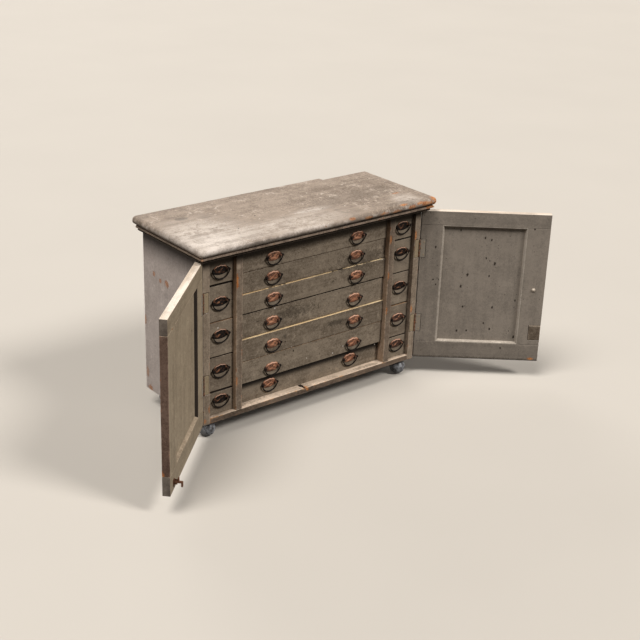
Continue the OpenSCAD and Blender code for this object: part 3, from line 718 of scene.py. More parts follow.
# Painted shade: near black faces inside gaps, cuts and recesses, standing for the shade there.
GAP_SHADE = BareWood("gap_shade", (52, 43, 36), (32, 26, 22), grime=0.4)
BOX_WOOD = BareWood("box_wood", (172, 138, 98), (124, 92, 60), grime=0.35)
BACK_WOOD = BareWood("back_wood", (150, 128, 102), (104, 84, 64), grime=0.5)
RUNNER_WOOD = BareWood("runner_wood", (166, 132, 92), (120, 88, 58), source=GrainFrom.ALONG_Y)
BLOCK_PAINT = PaintedWood(
    "block_paint", (134, 121, 106), (88, 76, 65), wood=(150, 112, 78), wear=0.4, grime=0.6, streaks=0.4,
    dust=0.25, pitting=0.4)
COPPER = OldMetal("copper_plate", (182, 128, 98), (138, 86, 62), shine=0.3, hollow=(50, 31, 23))
DARK_COPPER = OldMetal("dark_copper", (146, 102, 76), (96, 62, 44), shine=0.12, hollow=(16, 12, 10))
WIRE_IRON = OldMetal("wire_iron", (24, 19, 16), (16, 12, 10), metallic=0.0, rough=0.6, shine=0.12)
HINGE_IRON = OldMetal("hinge_iron", (146, 130, 106), (112, 74, 46), rusting=0.2, rough=0.6, lump=120.0)
DOOR_HINGE_IRON = OldMetal("door_hinge_iron", (140, 131, 119), (92, 68, 50), rusting=0.16, rough=0.6, lump=120.0)
KNUCKLE_IRON = OldMetal("knuckle_iron", (84, 66, 52), (128, 76, 44), metallic=0.2, rough=0.55)
CATCH_IRON = OldMetal("catch_iron", (86, 62, 46), (96, 56, 32), rusting=0.6, metallic=0.4, rough=0.55)
CASTER_IRON = OldMetal(
    "caster_iron", (148, 151, 157), (52, 50, 50), rusting=0.5, metallic=0.3, rough=0.45, lump=80.0)
BOLT_STEEL = OldMetal("bolt_steel", (186, 174, 160), (120, 96, 78), rusting=0.2, metallic=0.2, rough=0.4)
CASTER_TREAD = OldMetal("caster_tread", (124, 125, 128), (60, 58, 58), metallic=0.2, lump=110.0)
FLOOR = PlainFloor("pale_floor", (190, 184, 176), (60, 54, 48))


# Meshes

RIM = 6.0
HAIR = 0.01
STRIP_STEP = 30.0
STRIP_WOBBLE = 0.25
SWAY_SCALE = 0.03


class Grain(Enum):
    """The axis that a board's grain runs along."""

    X = 0
    Y = 1
    Z = 2


@dataclass(frozen=True)
class Cut:
    """A box taken out of a board."""

    lo: Triple
    hi: Triple


def grid_lines(lo: float, hi: float, breaks: Iterable[float], rim: float, step: float) -> np.ndarray:
    """Where a board's grid has its lines along one axis.

    Args:
        lo: First line.
        hi: Last line.
        breaks: Lines that a cut needs.
        rim: Width of the worn rim at an edge.
        step: Widest spacing.

    Returns:
        The lines in order.
    """
    stops = sorted({lo, hi, *(b for b in breaks if lo < b < hi)})
    lines = set(stops)
    for mark in stops:
        for near in (mark - rim, mark + rim):
            if lo < near < hi and min(abs(near - s) for s in stops) > rim * 0.6:
                lines.add(near)
    ordered = sorted(lines)
    filled: list[float] = []
    for first, last in zip(ordered, ordered[1:]):
        count = max(1, round((last - first) / step))
        filled += [first + (last - first) * k / count for k in range(count)]
    return np.array(filled + [hi])


def quads(rings: int, count: int, closed: bool = True, flip: bool = False) -> list[list[int]]:
    """The faces between rings of points that follow each other.

    Args:
        rings: How many rings there are.
        count: Points in each.
        closed: Whether a ring's last point joins its first.
        flip: Whether the faces turn the other way.

    Returns:
        The faces, by point numbers.
    """
    faces = []
    for i in range(rings - 1):
        for k in range(count if closed else count - 1):
            after = (k + 1) % count
            a, b, c, d = i * count + k, i * count + after, (i + 1) * count + after, (i + 1) * count + k
            faces.append([a, d, c, b] if flip else [a, b, c, d])
    return faces


def shell(lines: Sequence[np.ndarray], solid: np.ndarray) -> bmesh.types.BMesh:
    """The skin of a grid's solid cells.

    Args:
        lines: The grid's lines along each axis.
        solid: Which cells are solid.

    Returns:
        The skin, for the caller to free.
    """
    form = bmesh.new()
    known: dict[tuple[int, ...], bmesh.types.BMVert] = {}
    padded = np.pad(solid, 1)
    for axis in range(3):
        across, up = (axis + 1) % 3, (axis + 2) % 3
        for sign in (1, -1):
            shown = padded & ~np.roll(padded, -sign, axis)
            for cell in np.argwhere(shown) - 1:
                base = cell.copy()
                base[axis] += 1 if sign > 0 else 0
                ring = []
                for da, db in ((0, 0), (1, 0), (1, 1), (0, 1))[::sign]:
                    key = base.copy()
                    key[across] += da
                    key[up] += db
                    spot = tuple(int(k) for k in key)
                    if spot not in known:
                        known[spot] = form.verts.new([lines[a][spot[a]] for a in range(3)])
                    ring.append(known[spot])
                form.faces.new(ring)
    form.normal_update()
    return form


class Soup:
    """Gathers shapes into one mesh, with the grain's direction and the wear on its vertices."""

    def __init__(self, name: str, finishes: Sequence[Finish], seed: int) -> None:
        """Starts empty.

        Args:
            name: The piece's name.
            finishes: Its finishes in slot order.
            seed: Seed of its random draws.
        """
        self.name = name
        self.finishes = finishes
        self.draw = random.Random(seed)
        self.points: list[np.ndarray] = []
        self.grain: list[np.ndarray] = []
        self.wear: list[np.ndarray] = []
        self.faces: list[tuple[int, ...]] = []
        self.slots: list[int] = []
        self.smooth: list[bool] = []
        self.count = 0

    def add(self, points: np.ndarray, faces: Iterable[Sequence[int]], slot: int | Sequence[int] = 0,
            smooth: bool | Sequence[bool] = True, grain: np.ndarray | None = None,
            wear: np.ndarray | None = None, turn: Matrix | None = None) -> None:
        """Adds one shape.

        Args:
            points: Its vertices, in millimetres.
            faces: Its faces.
            slot: Finish of all faces, or of each.
            smooth: Shading of all faces, or of each.
            grain: Position along, across and through the grain.
            wear: Nearness of an edge and of an end (on the top and its moulding, painted shade and grime instead),
                and the board's tone.
            turn: Where it goes in the source's frame.
        """
        whole = np.array(FRAME @ turn if turn is not None else FRAME)
        self.points.append(points @ whole[:3, :3].T + whole[:3, 3])
        self.grain.append(points * MM if grain is None else grain)
        self.wear.append(np.zeros((len(points), 3)) if wear is None else wear)
        made = [tuple(i + self.count for i in face) for face in faces]
        self.faces += made
        self.slots += [slot] * len(made) if isinstance(slot, int) else list(slot)
        self.smooth += [smooth] * len(made) if isinstance(smooth, bool) else list(smooth)
        self.count += len(points)

    def board(self, lo: Triple, hi: Triple, grain: Grain, cuts: Sequence[Cut] = (), slot: int = 0,
              sides: dict[str, int] | None = None, inside: int | None = None, rounding: float = 1.0,
              step: float = 40.0, wobble: float = 0.2, turn: Matrix | None = None) -> None:
        """Adds a board with softened edges.

        Args:
            lo: Lowest corner.
            hi: Highest corner.
            grain: Axis of its grain.
            cuts: Boxes taken out of it.
            slot: Its finish.
            sides: Finishes of single outer faces, such as {"+z": 1}.
            inside: Finish of the faces of the cuts.
            rounding: Width of the softened edge.
            step: Widest spacing of its grid.
            wobble: How far its surface wanders.
            turn: Where it goes in the source's frame.
        """
        low, high = np.array(lo, float), np.array(hi, float)
        lines = [grid_lines(low[a], high[a], [c for k in cuts for c in (k.lo[a], k.hi[a])],
                            min(RIM, (high[a] - low[a]) / 3), step) for a in range(3)]
        solid = np.ones([len(line) - 1 for line in lines], bool)
        middle = [(line[:-1] + line[1:]) / 2 for line in lines]
        for cut in cuts:
            gone = [(m > cut.lo[a]) & (m < cut.hi[a]) for a, m in enumerate(middle)]
            solid[np.ix_(*gone)] = False
        form = shell(lines, solid)
        sharp = [e for e in form.edges if len(e.link_faces) == 2 and e.calc_face_angle_signed(0.0) > 0.5]
        soft: set[bmesh.types.BMFace] = set()
        if rounding > 0:
            done = bmesh.ops.bevel(form, geom=sharp, offset=rounding, segments=2, profile=0.5,
                                   affect="EDGES", clamp_overlap=True)
            soft = set(done["faces"])
        form.normal_update()
        form.verts.index_update()
        points = np.array([v.co[:] for v in form.verts])
        faces, slots, smooth = [], [], []
        for face in form.faces:
            faces.append([v.index for v in face.verts])
            smooth.append(face in soft)
            axis = max(range(3), key=lambda a: abs(face.normal[a]))
            ahead = face.normal[axis] > 0
            off = abs(face.calc_center_median()[axis] - (high if ahead else low)[axis])
            if abs(face.normal[axis]) > 0.99 and off > 0.05:
                slots.append(slot if inside is None else inside)
            else:
                slots.append((sides or {}).get(("+" if ahead else "-") + "xyz"[axis], slot))
        form.free()
        near = np.sort(np.minimum(points - low, high - points), axis=1)[:, 1]
        edge = np.exp(-np.maximum(near - rounding, 0.0) / RIM * 2.2)
        order = [grain.value, (grain.value + 1) % 3, (grain.value + 2) % 3]
        along = points[:, grain.value]
        ends = np.exp(-np.minimum(along - low[grain.value], high[grain.value] - along) / 12.0)
        shift = np.array([self.draw.uniform(-20, 20) for _ in range(3)])
        tone = self.draw.uniform(-1.0, 1.0)
        wear = np.stack([edge, ends, np.full(len(points), tone)], axis=1)
        if wobble > 0:
            sway = np.array([noise.noise_vector(Vector(p * SWAY_SCALE + shift))[:] for p in points])
            points = points + sway * (wobble * (0.35 + 0.65 * edge))[:, None]
        self.add(points, faces, slots, smooth, points[:, order] * MM + shift, wear, turn)

    def lathe(self, profile: Sequence[tuple[float, float]], turn: Matrix, slot: int = 0, count: int = 32,
              rub: float = 0.0) -> None:
        """Adds a turned shape about its own Z.

        Args:
            profile: Radius and height of each ring, from foot to head.
            turn: Where it goes in the source's frame.
            slot: Its finish.
            count: Points round it.
            rub: How worn it is.
        """
        points: list[Triple] = []
        rings: list[list[int]] = []
        for radius, height in profile:
            if radius < 1e-6:
                rings.append([len(points)] * count)
                points.append((0.0, 0.0, height))
                continue
            rings.append(list(range(len(points), len(points) + count)))
            points += [(radius * math.cos(2 * math.pi * k / count), radius * math.sin(2 * math.pi * k / count),
                        height) for k in range(count)]
        faces = []
        for below, above in zip(rings, rings[1:]):
            for k in range(count):
                after = (k + 1) % count
                ring = [below[k], below[after], above[after], above[k]]
                lean = [i for n, i in enumerate(ring) if i not in ring[:n]]
                if len(lean) > 2:
                    faces.append(lean)
        wear = np.zeros((len(points), 3))
        wear[:, 0] = rub
        self.add(np.array(points), faces, slot, True, wear=wear, turn=turn)

    def tube(self, path: Sequence[Vector], radii: Sequence[float], turn: Matrix) -> None:
        """Adds a round bar along a path that lies in one plane.

        Args:
            path: Its middle line.
            radii: Its radius at each point.
            turn: Where it goes in the source's frame.
        """
        count = 12
        points: list[Vector] = []
        flat = Vector((0.0, 1.0, 0.0))
        last = len(path) - 1
        for i, spot in enumerate(path):
            way = (path[min(i + 1, last)] - path[max(i - 1, 0)]).normalized()
            side = way.cross(flat).normalized()
            for k in range(count):
                angle = 2 * math.pi * k / count
                points.append(spot + (side * math.cos(angle) + flat * math.sin(angle)) * radii[i])
        faces = quads(len(path), count, flip=True)
        faces.append(list(range(count)))
        faces.append([last * count + k for k in range(count)][::-1])
        self.add(np.array([p[:] for p in points]), faces, turn=turn)

    def ruled(self, first: Sequence[Triple], last: Sequence[Triple], rub: Sequence[float], slot: int = 0,
              turn: Matrix | None = None, shade_and_soot: Sequence[float] = ()) -> None:
        """Adds a strip whose section runs from one closed outline to another.

        Args:
            first: The outline at one end.
            last: The outline at the other end.
            rub: How worn each corner of the outline is.
            slot: Its finish.
            turn: Where it goes in the source's frame.
            shade_and_soot: How much painted shade and grime each corner of the outline carries.
        """
        one, two = np.array(first, float), np.array(last, float)
        long = float(np.linalg.norm(two.mean(0) - one.mean(0)))
        steps = max(2, round(long / STRIP_STEP))
        shift = np.array([self.draw.uniform(-20, 20) for _ in range(3)])
        tone = self.draw.uniform(-1.0, 1.0)
        size = len(one)
        points, grain, wear = [], [], []
        for i in range(steps + 1):
            part = i / steps
            for k in range(size):
                spot = Vector(one[k] * (1 - part) + two[k] * part)
                sway = noise.noise_vector(spot * SWAY_SCALE + Vector(shift)) * STRIP_WOBBLE
                points.append(np.array(spot + sway))
                grain.append(np.array((part * long, k * 6.0, 0.0)) * MM + shift)
                wear.append((rub[k], shade_and_soot[k] if shade_and_soot else 0.0, tone))
        faces = quads(steps + 1, size)
        faces.append(list(range(size))[::-1])
        faces.append([steps * size + k for k in range(size)])
        self.add(np.array(points), faces, slot, False, np.array(grain), np.array(wear), turn)

    def build(self, tidy: bool = False) -> bpy.types.Object:
        """Makes the object.

        Args:
            tidy: Whether doubles are merged and normals made to agree.

        Returns:
            The object, at the origin.
        """
        mesh = bpy.data.meshes.new(self.name)
        mesh.from_pydata(np.concatenate(self.points).tolist(), [], self.faces)
        for name, values in (("grain", self.grain), ("wear", self.wear)):
            layer = mesh.attributes.new(name, "FLOAT_VECTOR", "POINT")
            layer.data.foreach_set("vector", np.concatenate(values).astype(np.float32).ravel())
        for finish in self.finishes:
            mesh.materials.append(SHELF.take(finish))
        mesh.polygons.foreach_set("material_index", self.slots)
        mesh.polygons.foreach_set("use_smooth", self.smooth)
        if tidy:
            form = bmesh.new()
            form.from_mesh(mesh)
            bmesh.ops.remove_doubles(form, verts=form.verts, dist=1e-6)
            bmesh.ops.recalc_face_normals(form, faces=form.faces)
            form.to_mesh(mesh)
            form.free()
        mesh.validate()
        made = bpy.data.objects.new(self.name, mesh)
        bpy.context.scene.collection.objects.link(made)
        return made


def settle(piece: bpy.types.Object, body: str, nodes: Sequence[str]) -> None:
    """Gives a piece to the frame.

    Args:
        piece: The object.
        body: The body that carries it.
        nodes: The solids that it stands for.
    """
    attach(piece, body)
    if nodes:
        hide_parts(*nodes)
    LOG.info("%s rides on %s, %d faces", piece.name, body, len(piece.data.polygons))


# Repeats


class Pattern(Graph):
    """A Geometry Nodes tree that puts one shape on many points."""

    def __init__(self, name: str, sizes: Sequence[str]) -> None:
        """Makes the tree with its named inputs.

        Args:
            name: The tree's name.
            sizes: Names of its sizes.
        """
        tree = bpy.data.node_groups.new(name, "GeometryNodeTree")
        face = tree.interface
        face.new_socket("Geometry", in_out="INPUT", socket_type="NodeSocketGeometry")
        self.keys = {s: face.new_socket(s, in_out="INPUT", socket_type="NodeSocketFloat").identifier for s in sizes}
        face.new_socket("Geometry", in_out="OUTPUT", socket_type="NodeSocketGeometry")
        super().__init__(tree)
        self.entry = tree.nodes.new("NodeGroupInput")

    def given(self, name: str) -> Wire:
        """An input of the tree."""
        return Wire(self, self.entry.outputs[name])

    def repeat(self, shape: Wire, finish: Finish, turn: Wire | None, scale: Wire | None) -> None:
        """Ends the tree: the shape on every point, made real, in its finish.

        Args:
            shape: The shape.
            finish: Its finish.
            turn: Rotation of each copy.
            scale: Scale of each copy.
        """
        dots = self.node("GeometryNodeMeshToPoints", inputs={"Mesh": self.given("Geometry")})
        feeds: dict[int | str, Feed] = {"Points": dots, "Instance": shape}
        if turn is not None:
            feeds["Rotation"] = turn
        if scale is not None:
            feeds["Scale"] = scale
        copies = self.node("GeometryNodeInstanceOnPoints", inputs=feeds)
        real = self.node("GeometryNodeRealizeInstances", inputs={"Geometry": copies})
        done = self.node("GeometryNodeSetMaterial", inputs={"Geometry": real, "Material": SHELF.take(finish)})
        leave = self.tree.nodes.new("NodeGroupOutput")
        self.tree.links.new(done.socket, leave.inputs["Geometry"])

    def vector(self, name: str) -> Wire:
        """A vector that each point carries."""
        return self.node("GeometryNodeInputNamedAttribute", {"data_type": "FLOAT_VECTOR"}, {"Name": name})

    def run(self, name: str, points: Sequence[Vector], vectors: dict[str, Sequence[Triple]],
            sizes: dict[str, float]) -> bpy.types.Object:
        """Runs the tree and keeps its mesh.

        Args:
            name: The piece's name.
            points: Where the copies go, in metres.
            vectors: What each point carries.
            sizes: The tree's inputs, in metres.

        Returns:
            The object, with no modifier left on it.
        """
        seeds = bpy.data.meshes.new(name + "_points")
        seeds.from_pydata([p[:] for p in points], [], [])
        for key, values in vectors.items():
            layer = seeds.attributes.new(key, "FLOAT_VECTOR", "POINT")
            layer.data.foreach_set("vector", np.array(values, np.float32).ravel())
        made = bpy.data.objects.new(name, seeds)
        bpy.context.scene.collection.objects.link(made)
        step = made.modifiers.new("repeat", "NODES")
        step.node_group = self.tree
        for key, value in sizes.items():
            step[self.keys[key]] = value
        bpy.context.view_layer.update()
        graph = bpy.context.evaluated_depsgraph_get()
        result = bpy.data.meshes.new_from_object(made.evaluated_get(graph))
        made.modifiers.remove(step)
        made.data = result
        result.name = name
        bpy.data.meshes.remove(seeds)
        return made


def heads(name: str, finish: Finish, points: Sequence[Vector], aims: Sequence[Triple], radius: float,
          height: float) -> bpy.types.Object:
    """Low round heads of screws or nails.

    Args:
        name: The piece's name.
        finish: Their finish.
        points: Where they are, in metres.
        aims: Where each one faces.
        radius: Their radius.
        height: Their height.

    Returns:
        The piece.
    """
    tree = Pattern(f"{name}_heads", ("Radius", "Height"))
    cone = tree.node("GeometryNodeMeshCone", inputs={
        "Vertices": 14, "Radius Top": tree.given("Radius") * 0.72, "Radius Bottom": tree.given("Radius"),
        "Depth": tree.given("Height")})
    aim = tree.node("FunctionNodeAlignRotationToVector", {"axis": "Z"}, {"Vector": tree.vector("aim")})
    tree.repeat(cone, finish, aim, None)
    return tree.run(name, points, {"aim": aims}, {"Radius": radius * MM, "Height": height * MM})


def sticks(name: str, finish: Finish, points: Sequence[Vector], sizes: Sequence[Triple]) -> bpy.types.Object:
    """Squared sticks, each with its own size.

    Args:
        name: The piece's name.
        finish: Their finish.
        points: Their middles, in metres.
        sizes: The size of each.

    Returns:
        The piece.
    """
    tree = Pattern(f"{name}_sticks", ("Unit",))
    unit = tree.given("Unit")
    size = tree.node("ShaderNodeCombineXYZ", inputs={0: unit, 1: unit, 2: unit})
    cube = tree.node("GeometryNodeMeshCube", inputs={
        "Size": size, "Vertices X": 2, "Vertices Y": 12, "Vertices Z": 2})
    tree.repeat(cube, finish, None, tree.vector("size"))
    return tree.run(name, points, {"size": sizes}, {"Unit": MM})


# Sub-assemblies


class Side(Enum):
    """Left or right, with the sign of X."""

    LEFT = -1
    RIGHT = 1

    @property
    def word(self) -> str:
        """The side in lower case."""
        return self.name.lower()


@dataclass
class Studio:
    """Floor, lamps, surroundings and camera."""

    eye: Triple = (-2341.4, -2860.6, 1891.1)
    yaw: float = 39.472
    pitch: float = 23.167
    roll: float = 1.955
    lens: float = 70.836
    reach: float = 30.0
    ambient: Triple = (0.12, 0.118, 0.114)
    backdrop: Triple = (228, 219, 206)
    warmth: Triple = (1.0, 0.97, 0.93)

    def build(self) -> None:
        """Makes the stage."""
        self._camera()
        self._floor()
        self._lamp("key", (-0.45, -0.10, 0.88), 30.0, 2.9)
        self._lamp("fill", (0.30, -0.67, 0.68), 16.0, 2.4)
        self._lamp("rear", (0.25, 0.93, 0.22), 40.0, 1.4)
        self._world()
        bpy.context.scene.view_settings.view_transform = "Standard"

    def _world(self) -> None:
        """Makes a faint light all round, which looks as pale as the floor."""
        world = bpy.data.worlds.new("studio")
        bpy.context.scene.world = world
        world.use_nodes = True
        graph = Graph(world.node_tree)
        colour = graph.mix((*self.ambient, 1.0), srgb(*self.backdrop), graph.seen())
        graph.tree.links.new(colour.socket, graph.tree.nodes["Background"].inputs["Color"])

    def _camera(self) -> None:
        """Stands the camera where the picture was taken from."""
        yaw, pitch, roll = (math.radians(a) for a in (self.yaw, self.pitch, self.roll))
        ahead = Vector((math.sin(yaw) * math.cos(pitch), math.cos(yaw) * math.cos(pitch), -math.sin(pitch)))
        level = Vector((math.cos(yaw), -math.sin(yaw), 0.0))
        above = level.cross(ahead)
        right = level * math.cos(roll) + above * math.sin(roll)
        up = above * math.cos(roll) - level * math.sin(roll)
        lens = bpy.data.cameras.new("camera")
        lens.lens = self.lens
        lens.sensor_width = 36.0
        lens.clip_end = 100.0
        camera = bpy.data.objects.new("camera", lens)
        turn = Matrix((right, up, -ahead)).transposed().to_4x4()
        camera.matrix_world = Matrix.Translation(FRAME @ Vector(self.eye)) @ turn
        bpy.context.scene.collection.objects.link(camera)
        bpy.context.scene.camera = camera

    def _floor(self) -> None:
        """Lays the floor."""
        mesh = bpy.data.meshes.new("floor")
        corners = ((-1, -1), (1, -1), (1, 1), (-1, 1))
        mesh.from_pydata([(x * self.reach, y * self.reach, 0) for x, y in corners], [], [(0, 1, 2, 3)])
        mesh.materials.append(SHELF.take(FLOOR))
        floor = bpy.data.objects.new("floor", mesh)
        bpy.context.scene.collection.objects.link(floor)

    def _lamp(self, name: str, come: Triple, soft: float, power: float) -> None:
        """Hangs a broad far lamp.

        Args:
            name: Its name.
            come: The direction that its light comes from.
            soft: Its width as an angle.
            power: Its strength.
        """
        lamp = bpy.data.lights.new(name, "SUN")
        lamp.angle = math.radians(soft)
        lamp.energy = power
        lamp.color = self.warmth
        made = bpy.data.objects.new(name, lamp)
        made.matrix_world = Vector(come).to_track_quat("Z", "Y").to_matrix().to_4x4()
        bpy.context.scene.collection.objects.link(made)


@dataclass
class Top:
    """The round-nosed top board and the moulding under it."""

    out_x: float = 466.0
    front_y: float = -40.0
    back_y: float = 338.0
    thick: float = 26.0
    notch_x: float = 268.0
    notch_y: float = 319.0
    moulding_h: float = 20.0
    moulding_side: float = 25.0
    moulding_front: float = 32.0
    slope: float = 6.0
    rim: float = 12.0
    step: float = 14.0
    sharp: float = 38.0

    def build(self) -> None:
        """Makes both."""
        settle(self._slab(), "carcass", ["top_board"])
        settle(self._moulding(), "carcass", ["top_moulding"])

    def _slab(self) -> bpy.types.Object:
        """Makes the board as a grid whose rim is drawn out into a round nose."""
        soup = Soup("top_slab", [TOP_PAINT], seed=11)
        nose = self.thick / 2
        core_x = self.out_x - nose
        core_y = self.front_y + nose
        xs = grid_lines(-core_x, core_x, [self.notch_x], self.rim, self.step)
        ys = grid_lines(core_y, self.back_y, [self.notch_y], self.rim, self.step)
        bend = [math.pi * (k / 10 - 0.5) for k in range(11)]
        corner = [math.pi / 2 * k / 6 for k in range(7)]
        rim: list[tuple[Triple, Triple]] = []
        rim += [((-core_x, y, 0.0), (-1.0, 0.0, 0.0)) for y in ys[::-1]]
        rim += [((-core_x, core_y, 0.0), (-math.cos(a), -math.sin(a), 0.0)) for a in corner[1:]]
        rim += [((x, core_y, 0.0), (0.0, -1.0, 0.0)) for x in xs[1:]]
        rim += [((core_x, core_y, 0.0), (math.sin(a), -math.cos(a), 0.0)) for a in corner[1:]]
        rim += [((core_x, y, 0.0), (1.0, 0.0, 0.0)) for y in ys[1:] if y <= self.notch_y + HAIR]
        points: list[Vector] = []
        rub: list[float] = []
        shade_and_soot: list[float] = []
        # Along the nose, rub pales the outer curve, as wear and as a painted highlight, and the second channel paints
        # shade on the lower half, most on the front.
        for at, out in rim:
            for angle in bend:
                lift = nose + nose * math.sin(angle)
                points.append(Vector(at) + Vector(out) * (nose * math.cos(angle)) + Vector((0, 0, lift)))
                rub.append(0.9 * max(0.0, math.cos(angle)) ** 1.5)
                shade_and_soot.append((0.5 + 1.4 * max(0.0, -out[1])) * min(1.0, max(0.0, (0.3 - angle) / 0.9)))
        rows = len(bend)
        faces = quads(len(rim), rows, closed=False, flip=True)
        for i in (0, len(rim) - 1):
            cap = [i * rows + k for k in range(rows)]
            faces.append(cap if i == 0 else cap[::-1])
        for level, flip in ((0.0, True), (self.thick, False)):
            start = len(points)
            for y in ys:
                points += [Vector((x, y, level)) for x in xs]
                rub += [0.25 * math.exp(-min(core_x - abs(x), y - core_y, self.back_y - y) / 16.0) for x in xs]
                shade_and_soot += [0.0] * len(xs)
            wide = len(xs)
            for j in range(len(ys) - 1):
                for i in range(wide - 1):
                    if xs[i] >= self.notch_x - HAIR and ys[j] >= self.notch_y - HAIR:
                        continue
                    a = start + j * wide + i
                    ring = [a, a + 1, a + wide + 1, a + wide]
                    faces.append(ring[::-1] if flip else ring)
        rear = [(x, self.back_y) for x in xs if x <= self.notch_x + HAIR]
        rear += [(self.notch_x, y) for y in ys[::-1] if self.notch_y - HAIR <= y < self.back_y]
        rear += [(x, self.notch_y) for x in xs if x > self.notch_x]
        start = len(points)
        # The back edge's lower rim gets a little painted shade.
        for x, y in rear:
            points += [Vector((x, y, 0.0)), Vector((x, y, self.thick))]
            rub += [0.5, 0.7]
            shade_and_soot += [0.4, 0.0]
        for i in range(len(rear) - 1):
            a = start + i * 2
            faces.append([a + 2, a, a + 1, a + 3])
        dented = []
        for spot, worn in zip(points, rub):
            sway = noise.noise_vector(spot * 0.022) * 0.5 + noise.noise_vector(spot * 0.09) * 0.3 * worn
            dented.append((spot + Vector((sway.x * 0.4, sway.y, sway.z)) + Vector((0, 0, TOP_Z)))[:])
        place = np.array(dented)
        wear = np.stack([np.array(rub), np.array(shade_and_soot), np.zeros(len(rub))], axis=1)
        soup.add(place, faces, wear=wear)
        made = soup.build(tidy=True)
        made.data.set_sharp_from_angle(angle=math.radians(self.sharp))
        return made

    def _moulding(self) -> bpy.types.Object:
        """Makes the three mitred strips."""
        soup = Soup("top_strips", [MOULDING_PAINT], seed=12)
        high, slope = self.moulding_h, self.slope / self.moulding_front
        section = [(0.0, 0.0), (0.66, 0.0), (0.70, 1.0), (0.70, 3.0), (0.66, 4.0), (0.68, 6.0), (0.75, 8.2),
                   (0.86, 9.6), (0.96, 10.0), (1.0, 10.8), (1.0, high - self.slope), (1.0 - slope, high), (0.0, high)]
        # rub pales the lip's front as wear and as a painted highlight; the next list paints shade, near black, on
        # every other face, most in the cove and under the nose.
        rub = [0.0, 0.0, 0.1, 0.2, 0.0, 0.0, 0.0, 0.1, 0.8, 1.0, 1.0, 0.2, 0.0]
        shade_and_soot = [2.6, 2.4, 1.6, 1.6, 2.4, 2.6, 2.4, 1.6, 0.2, 0.0, 0.0, 1.8, 2.6]

        def outline(side: Side, back: bool) -> list[Triple]:
            """The section at a front corner or at the back."""
            return [(side.value * (HALF_W + out * self.moulding_side),
                     CARCASS_D if back else -out * self.moulding_front, LINTEL_Z + up) for out, up in section]

        left, right = outline(Side.LEFT, False), outline(Side.RIGHT, False)
        for first, last in ((left, right), (outline(Side.LEFT, True), left), (right, outline(Side.RIGHT, True))):
            soup.ruled(first, last, rub, shade_and_soot=shade_and_soot)
        return soup.build()


